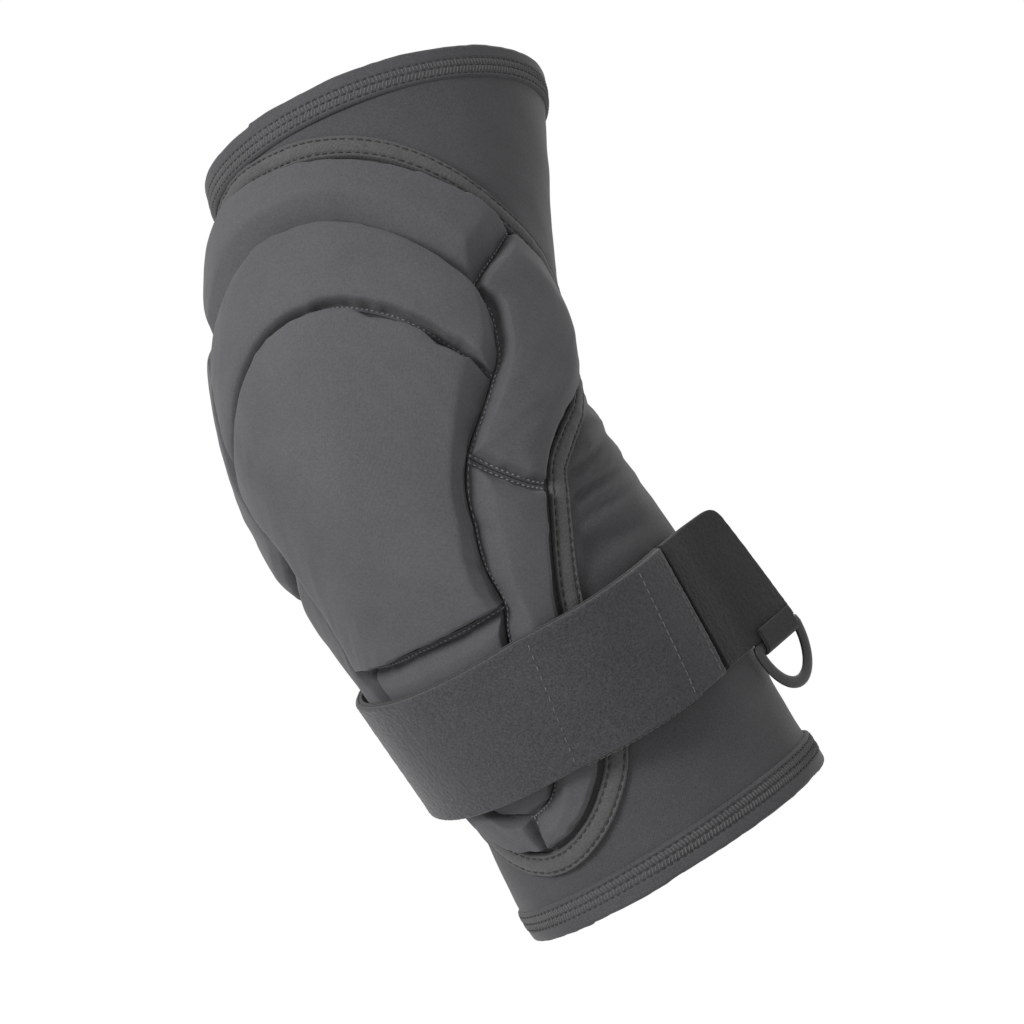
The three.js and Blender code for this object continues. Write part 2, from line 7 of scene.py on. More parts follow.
# %% Load the frame
import math
import bpy
import numpy as np
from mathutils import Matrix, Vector


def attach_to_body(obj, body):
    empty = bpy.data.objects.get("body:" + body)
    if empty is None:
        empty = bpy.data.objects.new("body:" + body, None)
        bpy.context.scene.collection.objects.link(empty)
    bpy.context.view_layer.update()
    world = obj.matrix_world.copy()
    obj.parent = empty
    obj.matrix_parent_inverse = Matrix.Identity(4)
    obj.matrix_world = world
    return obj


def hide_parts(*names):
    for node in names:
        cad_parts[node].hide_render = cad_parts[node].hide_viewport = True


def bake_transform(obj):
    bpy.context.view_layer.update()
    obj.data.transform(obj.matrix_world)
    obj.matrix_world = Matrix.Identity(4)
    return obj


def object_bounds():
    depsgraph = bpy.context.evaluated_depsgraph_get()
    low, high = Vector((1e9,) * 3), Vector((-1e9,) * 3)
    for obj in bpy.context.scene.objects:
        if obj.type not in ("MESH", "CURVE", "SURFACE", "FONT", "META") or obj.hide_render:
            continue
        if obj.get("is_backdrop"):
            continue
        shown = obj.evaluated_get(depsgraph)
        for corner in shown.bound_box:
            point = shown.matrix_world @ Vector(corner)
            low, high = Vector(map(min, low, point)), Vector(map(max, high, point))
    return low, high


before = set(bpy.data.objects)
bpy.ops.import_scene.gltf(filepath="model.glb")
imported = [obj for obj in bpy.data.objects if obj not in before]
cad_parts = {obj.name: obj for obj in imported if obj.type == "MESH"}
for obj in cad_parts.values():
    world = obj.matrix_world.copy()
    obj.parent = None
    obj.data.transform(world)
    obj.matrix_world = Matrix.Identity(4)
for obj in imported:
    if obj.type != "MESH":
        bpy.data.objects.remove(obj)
cad_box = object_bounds()
print("frame", [round(v * 1000, 1) for corner in cad_box for v in corner], "mm")

# %% [markdown]
# ## Camera and light
# The camera stands level, about a metre away on a long lens, so that the arm hardly narrows with depth. An
# even white world stands in for a light tent. Three soft lamps shape the cloth: a key from the left, a weak
# fill from the right and one from behind.

# %% The camera, with its place in metres
LENS = 135
CAMERA_PLACE = (0.02835, -1.0368, -0.02268)

camera = bpy.data.objects.new("camera", bpy.data.cameras.new("camera"))
bpy.context.scene.collection.objects.link(camera)
camera.data.lens = LENS
camera.data.sensor_width = 36
camera.data.clip_start = 0.05
camera.location = CAMERA_PLACE
camera.rotation_euler = (math.pi / 2, 0, 0)
bpy.context.scene.camera = camera


# %% Lamps
def lamp(name, place, target, size, power):
    """A square soft lamp at a place in metres, turned to a target."""
    data = bpy.data.lights.new(name, "AREA")
    data.size = size
    data.energy = power
    light = bpy.data.objects.new(name, data)
    light.location = place
    light.rotation_euler = (Vector(target) - Vector(place)).to_track_quat("-Z", "Y").to_euler()
    bpy.context.scene.collection.objects.link(light)


MIDDLE = (0.03, 0.0, -0.02)
lamp("key_lamp", (-0.95, -1.05, 0.3), MIDDLE, 0.45, 26)
lamp("fill_lamp", (0.9, -1.3, 0.1), MIDDLE, 0.9, 0.8)
lamp("back_lamp", (0.3, 1.1, 0.9), MIDDLE, 0.8, 5)

world = bpy.data.worlds.new("studio")
world.use_nodes = True
world.node_tree.nodes["Background"].inputs["Color"].default_value = (1, 1, 1, 1)
world.node_tree.nodes["Background"].inputs["Strength"].default_value = 1.0
bpy.context.scene.world = world
bpy.context.scene.view_settings.view_transform = "Standard"

# %% [markdown]
# ## Shader maths as expressions
# A material is a small program. A class that wraps one socket and knows plus, minus and times lets it be
# written as one, instead of wiring every Math node by hand.


# %% The socket class and the material builder
class Value:
    """One number coming out of a node. Arithmetic on it adds Math nodes."""

    def __init__(self, material, socket):
        self.material = material
        self.socket = socket

    def math(self, operation, *others):
        inputs = dict(enumerate([self, *others]))
        return self.material.node("ShaderNodeMath", {"operation": operation}, inputs)

    def __add__(self, other):
        return self.math("ADD", other)

    __radd__ = __add__

    def __mul__(self, other):
        return self.math("MULTIPLY", other)

    __rmul__ = __mul__

    def __sub__(self, other):
        return self.math("SUBTRACT", other)

    def __rsub__(self, other):
        return self * -1 + other

    def sine(self):
        return self.math("SINE")

    def between(self, low, high):
        """0 below low, 1 above high, and a smooth step between."""
        settings = {"interpolation_type": "SMOOTHSTEP"}
        inputs = {"Value": self, "From Min": low, "From Max": high}
        return self.material.node("ShaderNodeMapRange", settings, inputs)


class Finish:
    """A material whose nodes are added by name, settings first and then sockets."""

    def __init__(self, name, colour, roughness, sheen=0.0):
        self.made = bpy.data.materials.new(name)
        self.made.use_nodes = True
        self.tree = self.made.node_tree
        self.shader = self.tree.nodes["Principled BSDF"]
        self.set("Base Color", (*colour, 1))
        self.set("Roughness", roughness)
        self.set("Sheen Weight", sheen)
        self.set("Sheen Roughness", 0.45)
        self.set("Specular IOR Level", 0.3)

    def node(self, kind, settings=None, inputs=None, output=0):
        added = self.tree.nodes.new(kind)
        for name, value in (settings or {}).items():
            setattr(added, name, value)
        for name, value in (inputs or {}).items():
            self.feed(added.inputs[name], value)
        return Value(self, added.outputs[output])

    def feed(self, socket, value):
        if isinstance(value, Value):
            self.tree.links.new(value.socket, socket)
        else:
            socket.default_value = value

    def set(self, name, value):
        self.feed(self.shader.inputs[name], value)

    def cloth(self):
        """Where a point lies on the flat cloth, in millimetres across and along."""
        return self.node("ShaderNodeUVMap", {"uv_map": "cloth"}, output="UV")

    def parts(self, vector):
        split = self.tree.nodes.new("ShaderNodeSeparateXYZ")
        self.tree.links.new(vector.socket, split.inputs[0])
        return [Value(self, out) for out in split.outputs]

    def noise(self, vector, scale, detail=2.0, roughness=0.5):
        inputs = {"Vector": vector, "Scale": scale, "Detail": detail, "Roughness": roughness}
        return self.node("ShaderNodeTexNoise", None, inputs)

    def object_place(self):
        """The point in the object's own metres, turned to millimetres."""
        place = self.node("ShaderNodeTexCoord", output="Object")
        settings = {"operation": "SCALE"}
        return self.node("ShaderNodeVectorMath", settings, {"Vector": place, "Scale": 1000.0})

    def blend(self, share, low, high):
        """A colour between two colours."""
        settings = {"data_type": "RGBA"}
        inputs = {0: share, 6: self.colour(low), 7: self.colour(high)}
        return self.node("ShaderNodeMix", settings, inputs, output=2)

    @staticmethod
    def colour(value):
        return value if isinstance(value, Value) else (*value, 1)

    def bump(self, height, distance, strength=1.0, normal=None):
        inputs = {"Height": height, "Distance": distance, "Strength": strength}
        if normal is not None:
            inputs["Normal"] = normal
        return self.node("ShaderNodeBump", None, inputs)


LIGHT_GAIN = 2.35
PLAIN_GREY = (0.985, 0.99, 1.05)
GREEN_GREY = (0.99, 1.03, 0.99)
WARM_GREY = (1.0, 1.01, 1.01)
BLUE_BLACK = (0.98, 0.98, 1.07)


def grey(tone, tint):
    """The cloth colour that these lamps show as a near-neutral tone on screen, 0 to 255."""
    linear = ((tone / 255 + 0.055) / 1.055) ** 2.4 / LIGHT_GAIN
    return tuple(linear * t for t in tint)


print("tone 86 is", [round(c, 4) for c in grey(86, PLAIN_GREY)])

# %% [markdown]
# ## Drawing on a bent arm
# Nearly every piece is sewn to the sleeve, so it is drawn on the sleeve. A point has an angle round the arm
# (0 at the point of the elbow, growing towards the outer side), a distance along the arm in millimetres
# (negative up the upper arm) and a height above the cloth. Three numbers become one point in space.

# %% The arm's line
UPPER_LEAN, UPPER_TILT = math.radians(5), math.radians(24)
FORE_LEAN, FORE_TILT = math.radians(34.5), math.radians(11)
BEND_RADIUS = 60.0
ELBOW_RADIUS = 44.5

upper_down = np.array([
    math.sin(UPPER_LEAN) * math.cos(UPPER_TILT),
    -math.sin(UPPER_TILT),
    -math.cos(UPPER_LEAN) * math.cos(UPPER_TILT),
])
fore_down = np.array([
    math.sin(FORE_LEAN) * math.cos(FORE_TILT),
    math.sin(FORE_TILT),
    -math.cos(FORE_LEAN) * math.cos(FORE_TILT),
])
along_0 = (upper_down + fore_down) / np.linalg.norm(upper_down + fore_down)
back_0 = (upper_down - fore_down) / np.linalg.norm(upper_down - fore_down)
side_0 = np.cross(back_0, along_0)
half_bend = math.acos(float(upper_down @ fore_down)) / 2
print("the arm is bent by", round(math.degrees(2 * half_bend), 1), "degrees")


# %% From the sleeve to space
def step(x, low, high):
    """0 below low, 1 above high and a smooth step between."""
    t = np.clip((np.asarray(x, float) - low) / (high - low), 0, 1)
    return t * t * (3 - 2 * t)


def arm_frame(u):
    """Centre of the arm, direction along it, and direction to the elbow's point, at distances u."""
    u = np.asarray(u, float)[..., None]
    bent = np.clip(u, -BEND_RADIUS * half_bend, BEND_RADIUS * half_bend)
    turn = bent / BEND_RADIUS
    along = along_0 * np.cos(turn) - back_0 * np.sin(turn)
    back = back_0 * np.cos(turn) + along_0 * np.sin(turn)
    return (back - back_0) * BEND_RADIUS + along * (u - bent), along, back


UPPER_FLARE, FORE_FLARE = 4.0, 1.9
ELBOW_SHIFT, UPPER_SHIFT, FORE_SHIFT = 2.7, 2.7, 3.7
SHIFT_TURN = math.radians(129)


def upper_share(u):
    """0 at the elbow and 1 near the top of the sleeve."""
    return step(-u, 45, 95)


def fore_share(u):
    """0 at the elbow and 1 at the wrist end."""
    return step(u, 85, 140)


def sleeve_radius(u):
    return ELBOW_RADIUS + UPPER_FLARE * upper_share(u) + FORE_FLARE * fore_share(u)


def on_sleeve(angle, u, height):
    """Points in millimetres from arrays of angle (degrees), distance along the arm and height."""
    angle, u, height = np.broadcast_arrays(np.asarray(angle, float), np.asarray(u, float), height)
    centre, along, back = arm_frame(u)
    radius = sleeve_radius(u) + height
    shift = ELBOW_SHIFT - UPPER_SHIFT * upper_share(u) - FORE_SHIFT * fore_share(u)
    to_back = radius * np.cos(np.radians(angle)) + shift * math.cos(SHIFT_TURN)
    to_side = radius * np.sin(np.radians(angle)) + shift * math.sin(SHIFT_TURN)
    return centre + back * to_back[..., None] + side_0 * to_side[..., None]


PANEL_TWIST = 17


def middle_line(u):
    """The panel's middle line turns round the arm a little, most just above the elbow."""
    return PANEL_TWIST * (1 - step(np.abs(np.asarray(u, float) + 15), 0, 75))


def on_panel(degrees, u, height):
    return on_sleeve(middle_line(u) + degrees, u, height)


# %% The two rims, each cut on a slant that leaves the sleeve longer inside the bend
UPPER_LENGTH, UPPER_SLANT = 90, 14.5
FORE_LENGTH, FORE_SLANT = 140, 8


def upper_rim(angle):
    return -UPPER_LENGTH + UPPER_SLANT * np.cos(np.radians(angle + 20))


def fore_rim(angle):
    return FORE_LENGTH - FORE_SLANT * np.cos(np.radians(angle - 25))


print("the sleeve is", UPPER_LENGTH + FORE_LENGTH, "mm long")

# %% [markdown]
# ## Cloth as grids of points
# Sheets of cloth are grids. Two grids, the face and the back of the cloth, are joined round their edges into
# one closed skin. Each face corner also keeps its place on the flat cloth in millimetres, so that a weave
# or a stitch has its true size wherever the cloth goes.


# %% From grids to meshes
def steps(count, gather=0.0):
    """count + 1 marks from 0 to 1, closer together near both ends when gather is above 0."""
    t = np.linspace(0, 1, count + 1)
    return t - gather * np.sin(2 * np.pi * t) / (2 * np.pi)


def run_lengths(points, axis):
    """Distance along a grid of points from its first row or column."""
    gaps = np.linalg.norm(np.diff(points, axis=axis), axis=-1)
    start = np.zeros_like(np.take(gaps, [0], axis=axis))
    return np.concatenate([start, np.cumsum(gaps, axis=axis)], axis=axis)


def piece_of(name, points, faces, finish, cloth=None):
    """A smooth-shaded object from points in millimetres, quads, and cloth places for each face corner."""
    mesh = bpy.data.meshes.new(name)
    corners = faces.reshape(-1)
    mesh.vertices.add(len(points))
    mesh.vertices.foreach_set("co", (points * 0.001).astype(np.float32).ravel())
    mesh.loops.add(len(corners))
    mesh.loops.foreach_set("vertex_index", corners.astype(np.int32))
    mesh.polygons.add(len(faces))
    mesh.polygons.foreach_set("loop_start", np.arange(0, len(corners), faces.shape[1], dtype=np.int32))
    mesh.polygons.foreach_set("use_smooth", np.ones(len(faces), bool))
    if cloth is not None:
        layer = mesh.uv_layers.new(name="cloth")
        layer.data.foreach_set("uv", cloth.astype(np.float32).ravel())
    mesh.update(calc_edges=True)
    mesh.validate()
    made = bpy.data.objects.new(name, mesh)
    bpy.context.scene.collection.objects.link(made)
    mesh.materials.append(finish.made)
    return made


def outward(points, faces, cloth):
    """Turns every face over if the closed skin is inside out."""
    a, b, c = points[faces[:, 0]], points[faces[:, 1]], points[faces[:, 2]]
    d = points[faces[:, 3]]
    volume = (a * np.cross(b, c)).sum() + (a * np.cross(c, d)).sum()
    if volume < 0:
        faces = faces[:, ::-1]
        cloth = cloth[:, ::-1]
    return faces, cloth


def closed_cloth(name, top, under, finish, ring=False):
    """Two grids of points joined into one closed skin. With ring, each row closes on itself."""
    rows, columns = top.shape[:2]
    closed_top = np.concatenate([top, top[:, :1]], axis=1) if ring else top
    across = run_lengths(closed_top, 1)
    down = run_lengths(closed_top, 0)
    last = columns if ring else columns - 1
    i, j = np.meshgrid(np.arange(rows - 1), np.arange(last), indexing="ij")
    i, j = i.ravel(), j.ravel()
    number = lambda layer, i, j: layer * rows * columns + i * columns + j % columns
    square = [(i, j), (i, j + 1), (i + 1, j + 1), (i + 1, j)]
    places = lambda corner: np.stack([across[corner], down[corner]], -1)
    face = np.stack([number(0, *c) for c in square], 1)
    back = np.stack([number(1, *c) for c in square[::-1]], 1)
    cloth = np.stack([places(c) for c in square], 1)
    groups, cloths = [face, back], [cloth, cloth[:, ::-1]]

    def rim(first, second):
        """A strip of quads between the two layers, from a list of corners to the next ones."""
        quad = [number(0, *second), number(0, *first), number(1, *first), number(1, *second)]
        groups.append(np.stack(quad, 1))
        edge = [places(second), places(first), places(first) + 0.8, places(second) + 0.8]
        cloths.append(np.stack(edge, 1))

    j = np.arange(last)
    rim((0 * j, j), (0 * j, j + 1))
    rim((0 * j + rows - 1, j + 1), (0 * j + rows - 1, j))
    if not ring:
        i = np.arange(rows - 1)
        rim((i + 1, 0 * i), (i, 0 * i))
        rim((i, 0 * i + columns - 1), (i + 1, 0 * i + columns - 1))
    points = np.concatenate([top.reshape(-1, 3), under.reshape(-1, 3)])
    faces, cloth = outward(points, np.concatenate(groups), np.concatenate(cloths))
    return piece_of(name, points, faces, finish, cloth)


# %% Smooth random ripples
class Ripples:
    """Smooth random numbers from -1 to 1 over a plane, the same ones every time for one seed."""

    def __init__(self, seed):
        self.table = np.random.RandomState(seed).uniform(-1, 1, (64, 64))

    def __call__(self, x, y):
        x, y = np.broadcast_arrays(np.asarray(x, float), np.asarray(y, float))
        i, j = np.floor(x).astype(int), np.floor(y).astype(int)
        s, t = step(x - i, 0, 1), step(y - j, 0, 1)
        corner = lambda a, b: self.table[(i + a) % 64, (j + b) % 64]
        low = corner(0, 0) * (1 - s) + corner(1, 0) * s
        high = corner(0, 1) * (1 - s) + corner(1, 1) * s
        return low * (1 - t) + high * t


def attach(piece, slot, *nodes, body=None):
    """Hides the nodes the piece stands for, and ties it to one body, or else bakes its place into its points.
    The slot is not used.
    """
    if nodes:
        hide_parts(*nodes)
    if body:
        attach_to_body(piece, body)
    else:
        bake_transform(piece)
    print(piece.name, len(piece.data.vertices), "points")


# %% [markdown]
# ## The cloths
# Stretch cloth, tape, brushed pile and thread are all yarn, so one recipe serves: rows of loops for the knit
# or weave, fine speckle for single fibres, and slow patches where the cloth has been handled. The height of
# the loops goes to a bump, the same height shades the colour, and sheen gives the soft edge of fibre.


# %% The recipe for a cloth
TONE_SPREAD = 26
ROUGHNESS_SPREAD = 0.12
FIBRE_SCALE, LUMP_SCALE, PATCH_SCALE = 1.9, 0.55, 0.045
LUMP_HEIGHT = 0.0001


def cloth_finish(
    name, tone, pitch, relief, speckle, weave=1.0, sheen=0.08, roughness=0.85, tint=PLAIN_GREY
):
    """pitch is the size of one loop of the knit and relief its height, in millimetres."""
    made = Finish(name, grey(tone, tint), roughness, sheen)
    across, along, _ = made.parts(made.cloth())
    place = made.object_place()
    turn = 2 * math.pi / pitch
    loops = (across * turn).sine() * (along * (turn * 0.85)).sine() * weave
    fibre = made.noise(place, FIBRE_SCALE, 4, 0.65)
    patches = made.noise(place, PATCH_SCALE, 3, 0.55)
    shade = 0.5 + loops * 0.07 + (fibre - 0.5) * speckle + (patches - 0.5) * 0.45
    dark, light = grey(tone - TONE_SPREAD, tint), grey(tone + TONE_SPREAD, tint)
    made.set("Base Color", made.blend(shade, dark, light))
    made.set("Roughness", roughness - ROUGHNESS_SPREAD / 2 + patches * ROUGHNESS_SPREAD)
    coarse = made.bump(made.noise(place, LUMP_SCALE, 3, 0.6), LUMP_HEIGHT, 0.5)
    made.set("Normal", made.bump(loops * 0.35 + fibre * 0.9, relief * 0.001, 0.7, coarse))
    return made


sleeve_cloth = cloth_finish("sleeve_cloth", 72, 0.9, 0.07, 1.0)
pad_cloth = cloth_finish("pad_cloth", 86, 0.85, 0.06, 0.9, weave=0.6)
tape_cloth = cloth_finish("tape_cloth", 86, 1.0, 0.14, 1.3, tint=WARM_GREY)
hem_cloth = cloth_finish("hem_cloth", 75, 0.9, 0.08, 1.2)
pile_cloth = cloth_finish(
    "pile_cloth", 64, 1.2, 0.22, 2.0, weave=0.1, sheen=0.15, roughness=0.95, tint=BLUE_BLACK
)
webbing_cloth = cloth_finish("webbing_cloth", 58, 1.4, 0.2, 1.4)
seam_thread = cloth_finish("seam_thread", 138, 0.6, 0.05, 0.8, roughness=0.7)
hem_thread = cloth_finish("hem_thread", 99, 0.6, 0.05, 1.2, tint=GREEN_GREY)
dark_thread = cloth_finish("dark_thread", 46, 0.6, 0.05, 0.8, roughness=0.75)
print("cloths made:", len(bpy.data.materials))

# %% [markdown]
# ## The floor
# The pad hangs a little above a pale sheet of paper. The sheet fades out in a wide circle, by the square of
# the distance from its middle, so that no edge of it shows against the white world.

# %% The sheet of paper
FLOOR_DROP = 60.0
FLOOR_HALF = 620.0
FLOOR_FADE = (0.05, 0.36)
FLOOR_CELLS = 24
paper = Finish("floor_paper", (0.78, 0.78, 0.78), 0.9)
ground_x, ground_y, _ = paper.parts(paper.object_place())
squared = (ground_x * ground_x + ground_y * ground_y) * 1e-6
paper.set("Alpha", 1 - squared.between(*FLOOR_FADE))
floor_marks = np.linspace(-FLOOR_HALF, FLOOR_HALF, FLOOR_CELLS + 1)
floor_x, floor_y = np.meshgrid(floor_marks, floor_marks)
floor_z = np.full_like(floor_x, cad_box[0][2] * 1000 - FLOOR_DROP)
floor_points = np.stack([floor_x, floor_y, floor_z], -1).reshape(-1, 3)
cells, row = np.arange(FLOOR_CELLS), FLOOR_CELLS + 1
corner = (cells[:, None] * row + cells).ravel()
floor_faces = np.stack([corner, corner + 1, corner + row + 1, corner + row], 1)
floor = piece_of("floor", floor_points, floor_faces, paper)
floor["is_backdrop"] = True
print("the floor is", FLOOR_DROP, "mm below the pad")

# %% [markdown]
# ## The panel's seam lines
# A pattern cutter draws the panel flat: lines where two pieces meet, and the inner edge of the binding tape.
# Only the right half is drawn, because the left half is its mirror image. A smooth curve runs through each
# line's few points.

# %% Seam lines of the panel's right half: degrees from its middle line, millimetres along the arm
PANEL_TOP = [[0, -57.6], [18, -56.8], [40, -52], [58, -45], [74, -37.5]]
ARCH_SEAM = [[0, -39], [14, -37.5], [27, -32.5], [42, -23.5], [53, -18]]
CAP_SEAM = [[0, -17.8], [11, -17.3], [27, -13.5], [40, -7.5], [54, 1.3]]
SHOULDER = [[53, -18], [74, -37.5]]
WING_INNER_TOP = [[53, -18], [58.2, -13.5], [58.3, -4], [54, 1.3]]
WING_INNER_LOW = [[54, 1.3], [48, 6.4], [38, 13]]
WING_OUTER = [[74, -37.5], [85, -32], [97, -19.5], [97.5, -3], [91, 10], [77, 16], [66, 21.3], [60, 26.5]]
WING_FOOT = [[38, 13], [46, 18], [60, 26.5]]
CAP_SIDE = [[38, 13], [33, 20], [30.5, 33], [32, 45]]
CAP_FOOT = [[0, 44.5], [20, 45], [32, 45]]
RAIL_OUTER_TOP = [[60, 26.5], [58, 32], [53.2, 41.5], [47.2, 53.5]]
RAIL_OUTER_LOW = [[47.2, 53.5], [40.2, 75], [32, 92.3], [22.3, 101.5], [11.3, 107.2], [0, 109.3]]
TONGUE_SIDE = [[32, 45], [28, 53], [21, 72], [15, 90], [9, 96.5], [0, 99]]
CENTRE_SEAM = [[0, 99], [0, 109.3]]
TONGUE_END = [[-9, 96.5], [0, 99], [9, 96.5]]
BINDING_TOP = [[0, -59.3], [17, -58.9], [35, -56], [52, -50], [71, -40.5], [90, -31.5]]
BINDING_SIDE = [[90, -31.5], [101, -20], [101, 1], [91, 13], [76, 18.5], [65.5, 23], [60, 31.5], [48.6, 53.5]]
BINDING_LOW = [[48.6, 53.5], [41.5, 75], [33.5, 93], [23.5, 102.5], [12, 108.3], [0, 110.5]]
BINDING_WIDTH = 6.4
MM_PER_DEGREE = math.radians(1) * ELBOW_RADIUS


def mirrored(line):
    return [[-degrees, u] for degrees, u in line]


def across(line):
    """A line on the right half, carried over to the left half as well."""
    return mirrored(line)[::-1] + line[1:]


def joined(*lines):
    return lines[0] + [point for line in lines[1:] for point in line[1:]]


def smooth_line(knots, closed=False):
    """A function from shares 0..1 to points on a smooth curve through the knots, evenly spaced."""
    knots = np.array(knots, float)
    if closed:
        padded = np.concatenate([knots[-1:], knots, knots[:2]])
    else:
        padded = np.concatenate([knots[:1], knots, knots[-1:]])
    t = np.linspace(0, 1, 24, endpoint=False)[:, None]
    parts = []
    for a, b, c, d in zip(padded[:-3], padded[1:-2], padded[2:-1], padded[3:]):
        pull_in, pull_out = (c - a) / 2, (d - b) / 2
        cubic = (2 * b - 2 * c + pull_in + pull_out) * t**3
        square = (-3 * b + 3 * c - 2 * pull_in - pull_out) * t**2
        parts.append(cubic + square + pull_in * t + b)
    parts.append(padded[-2:-1])
    points = np.concatenate(parts)
    gone = np.concatenate([[0], np.cumsum(np.linalg.norm(np.diff(points, axis=0), axis=1))])
    gone /= gone[-1]
    return lambda share: np.stack([np.interp(share, gone, points[:, k]) for k in (0, 1)], -1)


binding_half = joined(BINDING_TOP, BINDING_SIDE, BINDING_LOW)
print("the panel is", round(binding_half[-1][1] - binding_half[0][1] + 2 * BINDING_WIDTH), "mm long")

# %% [markdown]
# ## The sleeve
# The sleeve is one tube of stretch cloth that fits the bent arm. It is taut nearly everywhere. In the crook
# of the elbow it has too much cloth, which gathers in folds round the arm, and below the strap it bulges.
# The folds are drawn as waves along the arm, strongest in the crook. A few single creases start at the panel.

# %% Where the panel covers the sleeve
SLEEVE_WALL = 1.2
edge_degrees, edge_u = np.array(binding_half).T


def beside_panel(angle, u, clear=9, fade=6):
    """0 under the panel and its binding, 1 on the free sleeve beside it."""
    off_middle = np.abs((angle - middle_line(u) + 180) % 360 - 180)
    edge = np.interp(u, edge_u, edge_degrees, left=0, right=0)
    return step(off_middle, edge + clear, edge + clear + fade)


crease_noise = Ripples(11)
soft_noise = Ripples(12)
SIDE_CREASES = [
    ((78, 29.5), (116, 32.5), 2.0, 1.5),
    ((74, 34.5), (120, 41), 2.2, 1.7),
    ((70, 39.5), (112, 45), 1.5, 1.5),
    ((66, 47), (125, 61), 1.6, 3.2),
    ((86, 23), (118, 23), 1.8, 1.5),
]


def crease(angle, u, start, end, depth, width):
    """A valley along a line on the sleeve with a soft ridge above it, fading out at its far end."""
    run = (np.array(end) - start) * [MM_PER_DEGREE, 1]
    length = np.linalg.norm(run)
    x, y = (angle - start[0]) * MM_PER_DEGREE, u - start[1]
    along = (x * run[0] + y * run[1]) / length
    aside = (x * run[1] - y * run[0]) / length
    here = step(along, -4, 2) * (1 - step(along, 0.4 * length, 1.1 * length))
    valley = np.exp(-((aside / width) ** 2))
    ridge = 0.7 * np.exp(-(((aside - 2.3 * width) / (1.3 * width)) ** 2))
    return depth * here * (ridge - valley)


def sleeve_folds(angle, u):
    """Height of the cloth's folds above the smooth sleeve, in millimetres."""
    turned = (np.asarray(angle, float) + 360) % 360
    wander = 3.5 * crease_noise(turned / 26, u / 30) + 0.11 * (turned - 180)
    crook = np.exp(-(((turned - 178) / 68) ** 2)) * np.exp(-(((u - 8) / 30) ** 2))
    waves = np.cos(2 * np.pi * (u + wander) / 9.5) + 0.35 * np.cos(2 * np.pi * (u + 2 * wander) / 5.3)
    folds = 1.15 * crook * waves
    folds = folds + sum(crease(turned, u, *line) for line in SIDE_CREASES)
    folds = folds + 0.45 * soft_noise(turned / 30, u / 17) + 0.22 * soft_noise(turned / 13 + 9, u / 8)
    folds = folds + 1.2 * np.exp(-(((u - 107) / 5.5) ** 2)) * np.exp(-(((turned - 112) / 26) ** 2))
    under_strap = 0.8 * step(u, 50, 55) * (1 - step(u, 92, 97))
    return folds * beside_panel(turned, u) * (1 - under_strap) - 0.1


# %% The sleeve's mesh
turns, rows = 256, 170
angles = np.linspace(0, 360, turns, endpoint=False)[None, :]
marks = steps(rows)[:, None]
sleeve_u = upper_rim(angles) + (fore_rim(angles) - upper_rim(angles)) * marks
calm = step(marks * rows, 0, 12) * step(rows - marks * rows, 0, 12)
folds = sleeve_folds(angles, sleeve_u) * calm
edge_round = 0.5 * (1 - np.clip(np.minimum(marks, 1 - marks) * rows / 1.5, 0, 1))
sleeve = closed_cloth(
    "sleeve",
    on_sleeve(angles, sleeve_u, folds - edge_round),
    on_sleeve(angles, sleeve_u, folds - SLEEVE_WALL + edge_round),
    sleeve_cloth,
    ring=True,
)
attach(sleeve, "sleeve_fabric", "upper_sleeve", "elbow_sleeve", "forearm_sleeve")

# %% [markdown]
# ## The pads
# Each pad is a foam core under stretch cloth that is sewn down all round. Cloth pulled over foam leaves a
# flat ledge at the stitching, climbs the foam's edge over a rounded lip, and runs up a bevel to a nearly flat
# top. The height is built from the distance to each of the four seams. Small puckers cross every seam,
# because the thread pulls the cloth in at each stitch.

# %% A patch between four seam lines
def patch_of(top, foot, start, end):
    """A function from (s, t) in the unit square to the panel: a blend of its four border lines."""
    a, b, c, d = (smooth_line(line) for line in (top, foot, start, end))
    p00, p10, p01, p11 = a(0.0), a(1.0), b(0.0), b(1.0)

    def place(s, t):
        s, t = np.broadcast_arrays(s, t)
        m, n = s[..., None], t[..., None]
        ruled = a(s) * (1 - n) + b(s) * n + c(t) * (1 - m) + d(t) * m
        corners = p00 * (1 - m) * (1 - n) + p10 * m * (1 - n) + p01 * (1 - m) * n + p11 * m * n
        return ruled - corners

    return place


# %% The height of a pad
LEDGE_HEIGHT = 1.2
LEDGE_SLOPE = 0.05
UNDERSIDE = 0.45
pucker = Ripples(21)
swell = Ripples(22)


def along_edge(value, share):
    """A number, or a list of numbers spread evenly along an edge, at a share of it."""
    values = np.atleast_1d(np.asarray(value, float))
    return np.interp(share, np.linspace(0, 1, len(values)), values)


def lower_of(a, b, soft):
    """The lower of two heights, with the corner between them rounded a little."""
    h = np.clip(0.5 + 0.5 * (b - a) / soft, 0, 1)
    return b * (1 - h) + a * h - soft * h * (1 - h)


def rise(distance, share, ledge, lip, lip_share, bevel):
    """Share of the full height at a distance from a seam: ledge, rounded lip, then a straight bevel."""
    ledge, bevel = along_edge(ledge, share), along_edge(bevel, share)
    lip_share = along_edge(lip_share, share)
    into = np.clip((distance - ledge) / lip, 0, 1)
    lip_rise = np.sqrt(np.clip(1 - (1 - into) ** 2, 0, 1))
    bevel_rise = lower_of(np.clip((distance - ledge) / bevel, 0, 2), 1.0, 0.22)
    ledge_rise = LEDGE_SLOPE * np.clip(distance / np.maximum(ledge, 0.1), 0, 1)
    over_ledge = lip_share * lip_rise + (1 - lip_share) * np.clip(bevel_rise, 0, 1)
    return ledge_rise + (1 - LEDGE_SLOPE) * over_ledge


